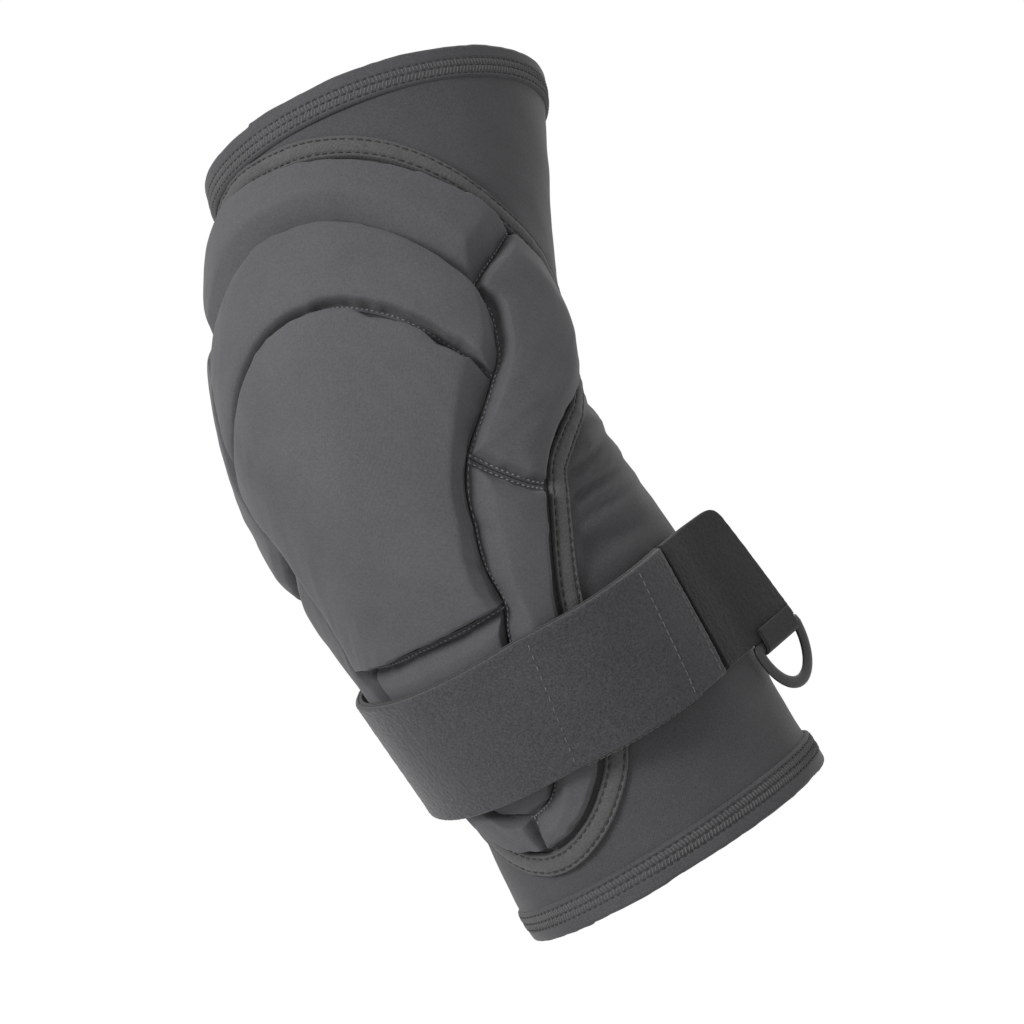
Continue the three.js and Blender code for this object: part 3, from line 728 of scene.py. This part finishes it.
def pad_heights(face, marks_down, marks_across, height, crown, edges):
    """Heights over a pad whose points lie on face at its full height. edges are top, foot, start and end."""
    across_run, down_run = run_lengths(face, 1), run_lengths(face, 0)
    t, s = np.broadcast_arrays(marks_down[:, None], marks_across[None, :])
    sides = [
        (down_run, s, across_run),
        (down_run[-1:] - down_run, s, across_run),
        (across_run, t, down_run),
        (across_run[:, -1:] - across_run, t, down_run),
    ]
    share = 1.2
    for number, ((distance, along, run), edge) in enumerate(zip(sides, edges)):
        pull = 0.5 * pucker(run / 2.9, number * 7 + distance / 14) * np.exp(-distance / 4.5)
        share = lower_of(share, rise(distance + pull * np.clip(distance, 0, 1), along, *edge), 0.1)
    share = np.clip(share, 0, 1)
    loose = 0.3 * swell(across_run / 15, down_run / 11) + 0.1 * swell(across_run / 5 + 20, down_run / 4)
    full = height + crown * 16 * s * (1 - s) * t * (1 - t)
    return LEDGE_HEIGHT + (full - LEDGE_HEIGHT + loose) * share


# %% One pad
HALF_GROOVE = 0.12


def pad(name, outline, height, crown, edges, rows, columns):
    """A pad that stands for the foam and the cover of the same name."""
    patch = patch_of(*outline)
    down, over = steps(rows, 0.6), steps(columns, 0.6)
    spots = patch(over[None, :], down[:, None])
    lengths = [run_lengths(on_panel(spots[..., 0], spots[..., 1], height), k)[-1:].max() for k in (0, 1)]
    inset = [HALF_GROOVE / length for length in lengths]
    down = inset[0] + down * (1 - 2 * inset[0])
    over = inset[1] + over * (1 - 2 * inset[1])
    spots = patch(over[None, :], down[:, None])
    face = on_panel(spots[..., 0], spots[..., 1], height)
    heights = pad_heights(face, down, over, height, crown, edges)
    top = on_panel(spots[..., 0], spots[..., 1], heights)
    under = on_panel(spots[..., 0], spots[..., 1], UNDERSIDE)
    made = closed_cloth(name, top, under, pad_cloth)
    attach(made, "pad_fabric", f"{name}_foam", f"{name}_cover")


# %% The arches, the cap and the tongue. An edge is its ledge, lip, the lip's share of the height, and bevel
STEEP = (0.3, 1.6, 0.9, 4)
SHUT = (0.2, 0.9, 0.9, 3)


def balanced(values):
    """Numbers along the right half of an edge, carried over to the left half."""
    return values[::-1] + values[1:]


arch_outer = (across(PANEL_TOP), across(ARCH_SEAM), mirrored(SHOULDER[::-1]), SHOULDER[::-1])
arch_inner = (across(ARCH_SEAM), across(CAP_SEAM), mirrored(WING_INNER_TOP), WING_INNER_TOP)
cap_side = joined(WING_INNER_LOW, CAP_SIDE)
cap = (across(CAP_SEAM), across(CAP_FOOT), mirrored(cap_side), cap_side)
tongue = (across(CAP_FOOT), TONGUE_END, mirrored(TONGUE_SIDE[:-1]), TONGUE_SIDE[:-1])

OUTER_FOOT = (1.1, 0.7, 0.12, balanced([7, 8.5, 9, 8]))
OUTER_END = (0.9, 1, 0.1, 10)
INNER_FOOT = (0.95, 1.5, 0.8, 4)
INNER_END = (0.5, 0.8, 0.12, 8)
pad("arch_outer", arch_outer, 7.6, 0.7, (STEEP, OUTER_FOOT, OUTER_END, OUTER_END),
    54, 230)
pad("arch_inner", arch_inner, 7.8, 0.7, ((0.25, 1.4, 0.92, 3), INNER_FOOT, INNER_END, INNER_END),
    54, 230)
TUCKS = [0.4, 0.4, 0.4, 0.5, 2.0, 1.5, 0.9, 0.5, 2.0, 1.2, 0.6, 0.7, 1.2]
CAP_TOP = ([0.5] * 12 + TUCKS, 1.4, 0.92, 4)
CAP_RIGHT = (0.6, 1.0, [0.1, 0.1, 0.2, 0.35, 0.4, 0.4, 0.4, 0.5], [11, 10, 6.5, 4.5, 4.5, 4.5, 4.5, 3.5])
pad("elbow_cap", cap, 8.0, 1.6, (CAP_TOP, (0.5, 1.8, 0.85, 4), SHUT, CAP_RIGHT),
    130, 150)
pad("tongue", tongue, 4.8, 0.6, ((1.6, 2, 0.4, 5), (0.8, 2, 0.6, 5), STEEP, STEEP),
    110, 60)

# %% Wings and rails, one of each on each side
WING_EDGES = ((0.3, 1.4, 0.88, 4), (1.0, 2, 0.6, 6))
WING_ROUND = (0.4, 2.6, 0.5, 11)
RAIL_EDGES = ((1.8, 2, 0.6, 6), (0.6, 2, 0.8, 4))
RAIL_ROUND = (0.4, 1.6, 0.6, 12)
rail_outer = joined(RAIL_OUTER_TOP, RAIL_OUTER_LOW)
for label, turn, inner_wing, inner_rail, rail_height in (
    ("right", lambda line: line, (0.8, 1.5, 0.85, 4), (1.0, 1, 0.15, 6.5), 6.3),
    ("left", mirrored, SHUT, SHUT, 6.9),
):
    wing = (turn(SHOULDER), turn(WING_FOOT), turn(joined(WING_INNER_TOP, WING_INNER_LOW)), turn(WING_OUTER))
    rail = (turn(WING_FOOT), turn(CENTRE_SEAM), turn(joined(CAP_SIDE, TONGUE_SIDE)), turn(rail_outer))
    pad(f"wing_{label}", wing, 7.8, 0.9, (*WING_EDGES, inner_wing, WING_ROUND), 110, 60)
    pad(f"rail_{label}", rail, rail_height, 0.5, (*RAIL_EDGES, inner_rail, RAIL_ROUND), 210, 44)

# %% [markdown]
# ## Hems, binding and other folded edges
# A hem is the sleeve's own cloth folded over its rim, so in section it is a narrow U. The panel's binding is
# a flat tape, a little puffed between its two rows of stitches. Both are one outline swept along a line, and
# both close on themselves, so the sweep is a ring of sections joined all round.


# %% Sweep a closed section round a closed line
def swept_ring(name, points, finish):
    """points is a grid: one closed section for each place along a closed line."""
    places, corners = points.shape[:2]
    closed = np.concatenate([points, points[:, :1]], 1)
    closed = np.concatenate([closed, closed[:1]], 0)
    over, down = run_lengths(closed, 1), run_lengths(closed, 0)
    i, j = np.meshgrid(np.arange(places), np.arange(corners), indexing="ij")
    square = [(i, j), (i, j + 1), (i + 1, j + 1), (i + 1, j)]
    number = lambda i, j: (i % places) * corners + j % corners
    faces = np.stack([number(*c).ravel() for c in square], 1)
    cloth = np.stack([np.stack([over[c].ravel(), down[c].ravel()], -1) for c in square], 1)
    faces, cloth = outward(points.reshape(-1, 3), faces, cloth)
    return piece_of(name, points.reshape(-1, 3), faces, finish, cloth)


# %% The two hems
HEM_WIDTH = 9.5
HEM_OUT = 1.05
HEM_TURN = 0.7
HEM_IN = -SLEEVE_WALL - HEM_TURN
HEM_BEND, FOLD = 0.9, 0.35
STITCH_LINES = (3.9, 6.0, 8.2)
hem_ripple = Ripples(31)


def hem_section():
    """How far in from the rim, and how high, round the folded cloth's outline."""
    def thin(w):
        return step(HEM_WIDTH - w, 0, 0.7)

    out = [(w, 0.02 + HEM_OUT * thin(w)) for w in np.linspace(HEM_WIDTH, HEM_BEND, 30)]
    middle, half = (HEM_OUT + HEM_IN) / 2, (HEM_OUT - HEM_IN) / 2
    reach = HEM_BEND + FOLD
    turns = np.linspace(0.2, math.pi - 0.2, 9)
    fold = [(HEM_BEND - reach * math.sin(a), middle + half * math.cos(a)) for a in turns]
    inside = [(w, -SLEEVE_WALL - HEM_TURN * thin(w)) for w in np.linspace(HEM_BEND, HEM_WIDTH, 14)]
    hidden = [(HEM_WIDTH - 0.5, -0.6)]
    return np.array(out + fold + inside + hidden)


def hem(name, rim, inwards, node, seed):
    section = hem_section()
    around = np.linspace(0, 360, 360, endpoint=False)[:, None]
    w, h = section[None, :, 0], section[None, :, 1]
    pinch = sum(0.28 * np.exp(-(((w - line) / 0.35) ** 2)) for line in STITCH_LINES)
    wave = 0.35 * hem_ripple(around / 9 + seed, 0) + 0.18 * hem_ripple(around / 2.5 + seed, 3)
    flare = 0.9 * np.exp(-w / 3) * hem_ripple(around / 21 + seed, 7)
    u = rim(around) + inwards * (w + wave * (w < 1.2) * 0.5)
    made = swept_ring(name, on_sleeve(around, u, h - pinch * (h > 0.3) + flare * 0.5), hem_cloth)
    attach(made, "hem_fabric", node)


hem("upper_hem_fold", upper_rim, 1, "upper_hem", 2)
hem("lower_hem_fold", fore_rim, -1, "lower_hem", 40)

# %% The binding
BINDING_ROWS = (1.2, 5.2)
BINDING_BASE = 0.35
binding_line = smooth_line(binding_half + mirrored(binding_half)[::-1][1:-1], closed=True)


def beside_line(line, share, aside, closed=False):
    """A point of the panel at a share of a line, moved aside by millimetres square to it."""
    small = 0.0015
    near = (lambda k: line(np.mod(k, 1))) if closed else line
    before, after = near(share - small), near(share + small)
    run = (after - before) * [MM_PER_DEGREE, 1]
    run = run / np.maximum(np.linalg.norm(run, axis=-1, keepdims=True), 1e-9)
    spot = near(share)
    aside = np.asarray(aside, float)
    degrees = spot[..., 0] + aside * run[..., 1] / MM_PER_DEGREE
    return degrees, spot[..., 1] - aside * run[..., 0]


def rounded(distance, radius):
    """1 inside a sheet, falling round to 0 at its edge."""
    return np.sqrt(np.clip(1 - (1 - np.clip(distance / radius, 0, 1)) ** 2, 0, 1))


def binding_height(w):
    """The tape puffs up between its rows of stitches and rolls over its two edges."""
    near_row, far_row = BINDING_ROWS
    puff = 1.45 + 0.35 * np.sin(np.pi * np.clip((w - near_row) / (far_row - near_row), 0, 1))
    rows_in = sum(0.4 * np.exp(-(((w - row) / 0.3) ** 2)) for row in BINDING_ROWS)
    edge = rounded(np.minimum(w, BINDING_WIDTH - w), 0.6)
    return BINDING_BASE + (puff - rows_in) * (0.15 + 0.85 * edge)


shares = np.linspace(0, 1, 900, endpoint=False)[:, None]
over = np.linspace(0, BINDING_WIDTH, 26)
section_w = np.concatenate([over, [BINDING_WIDTH - 0.1, 0.1]])[None, :]
section_h = np.concatenate([binding_height(over), [0.1, 0.1]])[None, :]
tape_ripple = Ripples(32)
jitter = 0.12 * tape_ripple(shares * 260, 0) * (section_h > 1)
spot = beside_line(binding_line, shares, section_w, closed=True)
binding = swept_ring("panel_binding", on_panel(*spot, section_h + jitter), tape_cloth)
attach(binding, "binding_tape", "binding_top", "binding_right", "binding_lower", "binding_left")

# %% [markdown]
# ## Stitches
# A stitch is a short arch of thread that dives into the cloth at both ends. Hundreds of them are built at
# once: every stitch is the same small six-sided tube, placed between two points and lifted in its middle.


# %% Many stitches as one piece
def sewn(name, starts, ends, lifts, radius, finish, slot):
    """One piece from arrays of stitch ends and outward directions, all in millimetres."""
    marks = np.array([0, 0.1, 0.3, 0.5, 0.7, 0.9, 1])
    thick = np.array([0.45, 0.9, 1.05, 1, 1.05, 0.9, 0.45]) * radius
    arch = np.sin(np.pi * marks) ** 0.7 * radius * 1.5 - radius * 1.1
    turns = np.linspace(0, 2 * np.pi, 6, endpoint=False)
    run = ends - starts
    run = run / np.maximum(np.linalg.norm(run, axis=1, keepdims=True), 1e-9)
    aside = np.cross(run, lifts)
    aside /= np.maximum(np.linalg.norm(aside, axis=1, keepdims=True), 1e-9)
    lifts = np.cross(aside, run)
    centre = starts[:, None] + (ends - starts)[:, None] * marks[:, None]
    centre = centre + lifts[:, None] * arch[:, None]
    cosines, sines = np.cos(turns)[:, None], np.sin(turns)[:, None]
    ring = cosines * aside[:, None, None] + sines * lifts[:, None, None]
    points = centre[:, :, None] + ring * thick[:, None, None]
    count, rings, sides = points.shape[:3]
    number = lambda n, i, j: (n * rings + i) * sides + j % sides
    n, i, j = (a.ravel() for a in np.indices((count, rings - 1, sides)))
    wall = [number(n, i, j), number(n, i + 1, j), number(n, i + 1, j + 1), number(n, i, j + 1)]
    n = np.arange(count)
    caps = [np.stack([number(n, 0, k) for k in (a, a + 1, a + 2, a + 3)], 1) for a in (0, 3)]
    tips = [np.stack([number(n, rings - 1, k) for k in (a + 3, a + 2, a + 1, a)], 1) for a in (0, 3)]
    faces = np.concatenate([np.stack(wall, 1), *caps, *tips])
    flat = np.zeros((len(faces), 4, 2))
    faces, flat = outward(points.reshape(-1, 3), faces, flat)
    attach(piece_of(name, points.reshape(-1, 3), faces, finish, flat), slot)
    print(name, count, "stitches")


class Sewing:
    """Collects stitches along lines until they are made into one piece."""

    def __init__(self):
        self.starts, self.ends, self.lifts = [], [], []

    def add(self, starts, ends, over):
        """over is the same line a little higher above the cloth, which gives the outward direction."""
        self.starts.append(starts)
        self.ends.append(ends)
        lift = over - starts
        self.lifts.append(lift / np.linalg.norm(lift, axis=1, keepdims=True))

    def row(self, place, length, pitch, share=0.62):
        """A row of stitches on place(share, lift), over a line of that length."""
        count = max(2, int(length / pitch))
        first = (np.arange(count) + 0.5 * (1 - share)) / count
        last = first + share / count
        self.add(place(first, 0.0), place(last, 0.0), place(first, 1.0))

    def make(self, name, radius, finish, slot):
        parts = (np.concatenate(p) for p in (self.starts, self.ends, self.lifts))
        sewn(name, *parts, radius, finish, slot)


# %% Seams of the panel
THREAD_RADIUS = 0.2
SEAM_PITCH = 1.5
SEAM_HEIGHT = LEDGE_HEIGHT + 0.4
seams = Sewing()


def seam(knots, aside):
    """A row of stitches beside a seam line, by millimetres to one side of it."""
    line = smooth_line(knots)

    def place(share, lift):
        return on_panel(*beside_line(line, share, aside), SEAM_HEIGHT + lift)

    length = run_lengths(place(np.linspace(0, 1, 200), 0.0), 0)[-1]
    seams.row(place, length, SEAM_PITCH)


seam(across(ARCH_SEAM), 0.6)
seam(across(CAP_SEAM), 0.55)
seam(across(CAP_FOOT), -0.9)
seam(CENTRE_SEAM, 0.0)
for turn, out in ((lambda line: line, 1), (mirrored, -1)):
    seam(turn(SHOULDER), 0.5 * out)
    seam(turn(joined(WING_INNER_TOP, WING_INNER_LOW)), 0.5 * out)
    seam(turn(WING_FOOT), 0.55 * out)
    seam(turn(WING_FOOT), -0.8 * out)
    seam(turn(joined(CAP_SIDE, TONGUE_SIDE)), 0.55 * out)
seams.make("seam_stitches", THREAD_RADIUS, seam_thread, "pad_fabric")

# %% Rows of the binding
BINDING_PITCH = 2.3
binding_rows = Sewing()
for row in BINDING_ROWS:
    def on_tape(share, lift, row=row):
        return on_panel(*beside_line(binding_line, share, row, closed=True), BINDING_BASE + 1.3 + lift)

    length = run_lengths(on_tape(np.linspace(0, 1, 600), 0.0), 0)[-1]
    binding_rows.row(on_tape, length, BINDING_PITCH, 0.66)
binding_rows.make("binding_stitches", THREAD_RADIUS, dark_thread, "binding_tape")


# %% The hems' cover stitch: two ladders of thread between three needle rows
RUNG_PITCH = 1.05
ladders = Sewing()
needles = Sewing()
for rim, inwards in ((upper_rim, 1), (fore_rim, -1)):
    full_turn = np.linspace(0, 360, 400)
    around = run_lengths(on_sleeve(full_turn, rim(full_turn), 1.0), 0)[-1]
    count = int(around / RUNG_PITCH)
    angle = 360 * np.arange(count) / count
    slant = 360 / count * 0.55

    def on_hem(angle, w, lift):
        return on_sleeve(angle, rim(angle) + inwards * w, HEM_OUT + lift)

    for low, high, lean in zip(STITCH_LINES, STITCH_LINES[1:], (1, -1)):
        start = on_hem(angle, low + 0.15, -0.05)
        end = on_hem(angle + slant * lean, high - 0.15, -0.05)
        ladders.add(start, end, on_hem(angle, low, 1.0))
    for line in STITCH_LINES:
        needles.row(lambda share, lift: on_hem(360 * share, line, lift - 0.12), around, 2 * RUNG_PITCH, 0.7)
ladders.make("hem_ladders", THREAD_RADIUS, hem_thread, "hem_fabric")
needles.make("hem_needle_rows", THREAD_RADIUS, dark_thread, "hem_fabric")

# %% [markdown]
# ## The strap
# The strap is 38 mm webbing with a brushed loop face laid on it. It comes up from the inner side, where it is
# sewn down, rides over the pads, drops to the sleeve on the outer side and ends in a free tail. The brushed
# face gets real lumps as well as a bump, because fibre pile has a fuzzy outline that a flat sheet lacks.

# %% Where the strap runs
STRAP_WIDTH = 38.0
HALF = STRAP_WIDTH / 2
OVER_PADS, ON_SLEEVE = 7.3, 0.6
STRAP_START, STRAP_END = -96.0, 89.0
STRAP_RISE = 0.1
STRAP_WALL = 1.3
PILE_WALL = 1.15
strap_ripple = Ripples(41)
pile_lumps = Ripples(42)


def strap_middle(angle):
    return 72.5 + STRAP_RISE * np.maximum(0, angle - 28)


def strap_seat(angle):
    """Height of the strap's back above the sleeve: 7.3 mm over the pads and 0.6 mm beside them."""
    return OVER_PADS + (ON_SLEEVE - OVER_PADS) * step(np.abs(angle), 42, 104)


def on_strap(angle, aside, height):
    """angle along the strap, aside across it (positive down the arm), height above the strap's back."""
    turned = angle - aside * STRAP_RISE / MM_PER_DEGREE**2
    seat = strap_seat(angle)
    slack = 0.3 * strap_ripple(angle / 16, aside / 25) * step(np.abs(angle), 45, 75) * step(89 - angle, 0, 15)
    return on_sleeve(turned, strap_middle(angle) + aside, seat + slack + height)


def strap_layer(name, start, end, low, wall, inset, finish, node, slot, lumps=0.0, runs=380, lanes=90):
    """One layer of the strap, its back at the height low and its sides inset from the strap's own."""
    half_width = HALF - inset
    angle = start + (end - start) * steps(runs)[:, None]
    aside = half_width * (2 * steps(lanes, 0.5)[None, :] - 1)
    to_end = np.minimum(angle - start, end - angle) * MM_PER_DEGREE
    edge = rounded(half_width - np.abs(aside), 0.7) * rounded(to_end, 0.6)
    fuzz = lumps * pile_lumps(angle * MM_PER_DEGREE / 0.6, aside / 0.6)
    fray = 0.25 * lumps * pile_lumps(angle * MM_PER_DEGREE / 0.6, 9) * (np.abs(aside) > half_width - 0.3)
    face = on_strap(angle, aside + np.sign(aside) * fray, low + wall * (0.25 + 0.75 * edge) + fuzz * edge)
    back = on_strap(angle, aside, low + 0 * angle)
    attach(closed_cloth(name, face, back, finish), slot, node)


PATCH_END = STRAP_START + 14
PATCH_WALL = 0.9
strap_layer("strap_webbing", STRAP_START, STRAP_END - 1, 0.0, STRAP_WALL, 0.0, webbing_cloth,
            "strap_band", "strap_webbing", runs=300, lanes=40)
strap_layer("strap_pile_face", PATCH_END + 1, STRAP_END - 2.2, STRAP_WALL, PILE_WALL, 0.3, pile_cloth,
            "strap_pile", "strap_pile", lumps=0.1)
strap_layer("strap_anchor_patch", STRAP_START, PATCH_END, STRAP_WALL, PATCH_WALL, 0.5, webbing_cloth,
            "strap_anchor", "strap_webbing", runs=40, lanes=60)

# %% The strap's cross stitching
STRAP_FACE = STRAP_WALL + PILE_WALL
ROW_HALF = 17.5
CROSS_PITCH = 2.2
strap_rows = Sewing()
dark_rows = Sewing()


def cross_row(sewing, top_angle, foot_angle, pitch=CROSS_PITCH, share=0.7):
    """A row of stitches across the strap, from its upper edge to its lower one."""
    def place(row_share, lift):
        angle = top_angle + (foot_angle - top_angle) * row_share
        return on_strap(angle, ROW_HALF * (2 * row_share - 1), STRAP_FACE + 0.02 + lift)

    sewing.row(place, 2 * ROW_HALF, pitch, share)


cross_row(strap_rows, 71, 69.5, share=0.85)
cross_row(strap_rows, 84.6, 84, share=0.85)
cross_row(strap_rows, 31, 28.5, pitch=2.8, share=0.45)
for angle in (STRAP_START + 2.5, PATCH_END - 2.5):
    cross_row(dark_rows, angle, angle)
for aside in (-16.5, 16.5):
    def along_patch(share, lift, aside=aside):
        angle = STRAP_START + 3 + (PATCH_END - STRAP_START - 6) * share
        return on_strap(angle, aside, STRAP_WALL + PATCH_WALL - 0.05 + lift)

    dark_rows.row(along_patch, 8.5, CROSS_PITCH)


def lower_selvage(share, lift):
    """The thread that shows along the webbing's lower edge."""
    return on_strap(31 + 42 * share, 18.95, 1.5 + lift)


strap_rows.row(lower_selvage, 40, 1.9, 0.9)
strap_rows.make("strap_row_stitches", THREAD_RADIUS, hem_thread, "strap_webbing")
dark_rows.make("strap_dark_stitches", THREAD_RADIUS, dark_thread, "strap_webbing")

# %% [markdown]
# ## The free tail and its pull loop
# Past the last row of stitches the strap is free: a stiff brushed tab with hook tape on its back. It leaves
# the sleeve in a straight line, dips a little and flares out again where fingers have pulled it. A moulded
# loop hangs from its lower corner in a folded keeper.

# %% The tail's own frame: x along the strap, y up the arm, z out
tail_u = strap_middle(STRAP_END)
_, tail_along, tail_back = (v.reshape(3) for v in arm_frame(tail_u))
end_turn = math.radians(STRAP_END)
round_arm = side_0 * math.cos(end_turn) - tail_back * math.sin(end_turn)
helix = math.atan(STRAP_RISE / (math.radians(1) * float(sleeve_radius(tail_u))))
tail_x = round_arm * math.cos(helix) + tail_along * math.sin(helix)
tail_y = round_arm * math.sin(helix) - tail_along * math.cos(helix)
tail_z = np.cross(tail_x, tail_y)
tail_origin = on_sleeve(STRAP_END, tail_u, float(strap_seat(STRAP_END)))


def on_tail(x, y, z):
    x, y, z = np.broadcast_arrays(np.asarray(x, float), np.asarray(y, float), z)
    return tail_origin + x[..., None] * tail_x + y[..., None] * tail_y + z[..., None] * tail_z


# %% The tail
TAIL_TOP, TAIL_BOTTOM, TAIL_CORNER = 28.0, 37.0, 5.0


def tail_end(y):
    """Where the tail's slanted end lies, with its upper corner rounded."""
    slant = TAIL_BOTTOM - (y + HALF) / (2 * HALF - TAIL_CORNER) * (TAIL_BOTTOM - TAIL_TOP - 1)
    t = 1 - np.sqrt(np.clip((HALF - y) / TAIL_CORNER, 0, 1))
    corner = (TAIL_TOP + 1) * (1 - t) ** 2 + TAIL_TOP * 2 * t * (1 - t) + (TAIL_TOP - TAIL_CORNER) * t * t
    return np.where(y > HALF - TAIL_CORNER, corner, slant)


def tail_bow(x, y):
    """The tail dips, then flares out towards its end, more at its upper corner."""
    dip = -0.5 * np.exp(-(((x - 12) / 6) ** 2)) * (1 - np.exp(-x / 3))
    flare = 0.011 * np.maximum(x - 13, 0) ** 2 * (0.6 + 0.4 * (y + HALF) / (2 * HALF))
    return dip + flare * step(30 - x, -14, 12)


def tail_sheet(name, margin, start, low, wall, finish, node, slot, lumps, edge_radius=0.6):
    """A sheet on the tail, its back at the height low and its sides inside the tail's by the margin."""
    half = HALF - margin
    y = half * (2 * steps(110, 0.6)[None, :] - 1)
    far = tail_end(y * HALF / half) - margin
    x = start + (far - start) * steps(120, 0.4)[:, None]
    y = y + 0 * x
    edge = rounded(half - np.abs(y), edge_radius) * rounded(np.minimum(x - start, far - x), edge_radius)
    bow = tail_bow(x, y)
    fuzz = lumps * pile_lumps(x / 0.8 + 31, y / 0.8) * edge
    face = on_tail(x, y, bow + low + wall * (0.2 + 0.8 * edge) + fuzz)
    back = on_tail(x, y, bow + low)
    attach(closed_cloth(name, face, back, finish), slot, node, body="strap_tail")


# The tail's pile is the strap's pile cloth painted darker, tone 35 against 64. This is painted shade for the
# tail, which lies on the side away from the key lamp. The keeper below uses the same darkened cloth.
tail_pile_painted_shade = cloth_finish(
    "tail_pile_painted_shade", 35, 1.2, 0.2, 1.8, weave=0.1, sheen=0.12, roughness=0.95, tint=BLUE_BLACK
)
hook_tape = cloth_finish("hook_tape", 44, 1.6, 0.6, 0.8, weave=2.5, sheen=0.0, roughness=0.5)
tail_sheet("strap_tail_tab", 0.0, 0.4, 0.0, STRAP_WALL, tail_pile_painted_shade, "strap_tail", "strap_pile", 0.08)
tail_sheet("hook_tape_patch", 8.0, 5.0, -1.15, 0.85, hook_tape, "hook_patch", "hook_tape", 0.05, 0.3)

# %% The pull loop and its keeper
LOOP_WIDTH, LOOP_DEPTH, LOOP_WIRE = 24.0, 15.0, 1.25
bar = np.array([TAIL_BOTTOM + 1.5 - LOOP_WIDTH / 2, -HALF - 0.4 - LOOP_WIRE, STRAP_WALL / 2])
half_loop, loop_drop = LOOP_WIDTH / 2 - LOOP_WIRE, LOOP_DEPTH - LOOP_WIRE
BAND_HALF_WIDTH, BAND_HALF_THICK = 1.7, 1.05
loop_plastic = cloth_finish(
    "loop_plastic", 60, 3.0, 0.01, 0.4, weave=0, sheen=0, roughness=0.42, tint=(1, 1, 1.01)
)

straight = np.stack([np.linspace(-half_loop, half_loop, 24, endpoint=False), np.zeros(24)], 1)
turn = np.linspace(0, math.pi, 72, endpoint=False)
bow = np.stack([half_loop * np.cos(turn), -loop_drop * np.sin(turn)], 1)
loop_line = np.concatenate([straight, bow])
ahead = np.roll(loop_line, -1, 0) - np.roll(loop_line, 1, 0)
outwards = np.stack([ahead[:, 1], -ahead[:, 0]], 1)
outwards /= np.linalg.norm(outwards, axis=1, keepdims=True)
outwards *= np.sign((outwards * (loop_line + [0, loop_drop * 0.4])).sum(1))[:, None]
ring = np.linspace(0, 2 * math.pi, 20, endpoint=False)
wide, thick = BAND_HALF_WIDTH * np.cos(ring), BAND_HALF_THICK * np.sin(ring)
flat_x = bar[0] + loop_line[:, :1] + outwards[:, :1] * wide
flat_y = bar[1] + loop_line[:, 1:] + outwards[:, 1:] * wide
loop = swept_ring("pull_loop_ring", on_tail(flat_x, flat_y, bar[2] + thick[None, :]), loop_plastic)
attach(loop, "loop_plastic", "pull_loop", body="pull_loop")

# %% The keeper: webbing folded round the loop's bar and over the tail's edge
KEEPER_GRIP, KEEPER_WALL = 5.0, 0.8
inside = LOOP_WIRE + 0.3
keeper_half = (LOOP_WIDTH - 4 * LOOP_WIRE - 2) / 2
fold = np.linspace(math.pi / 2, 3 * math.pi / 2, 20)


def keeper_line(radius):
    """Section of the fold: up the tail's face, round the bar and down its back."""
    front = [(KEEPER_GRIP * (1 - k), radius) for k in np.linspace(0, 0.95, 14)]
    bend = [(radius * math.cos(a), radius * math.sin(a)) for a in fold]
    back = [(KEEPER_GRIP * k, -radius) for k in np.linspace(0.05, 1, 14)]
    return np.array(front + bend + back)


lanes = steps(46, 0.6)[:, None]
keeper_x = bar[0] + keeper_half * (2 * lanes - 1)
edge = rounded(keeper_half - np.abs(keeper_x - bar[0]), 0.5)
outer_line, inner_line = keeper_line(inside + KEEPER_WALL), keeper_line(inside)
mean_line = inner_line[None] + (outer_line - inner_line)[None] * (0.35 + 0.65 * edge[..., None])
# The keeper uses the tail's cloth, which is painted darker than the strap's pile as painted shade.
keeper = closed_cloth(
    "loop_keeper_fold",
    on_tail(keeper_x, bar[1] + mean_line[..., 0], bar[2] + mean_line[..., 1]),
    on_tail(keeper_x, bar[1] + inner_line[None, :, 0], bar[2] + inner_line[None, :, 1]),
    tail_pile_painted_shade,
)
attach(keeper, "strap_webbing", "loop_keeper", body="strap_tail")

# %% Sizes and the end
visual_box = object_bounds()
boxes = {"cad": [list(corner) for corner in cad_box], "visual": [list(corner) for corner in visual_box]}
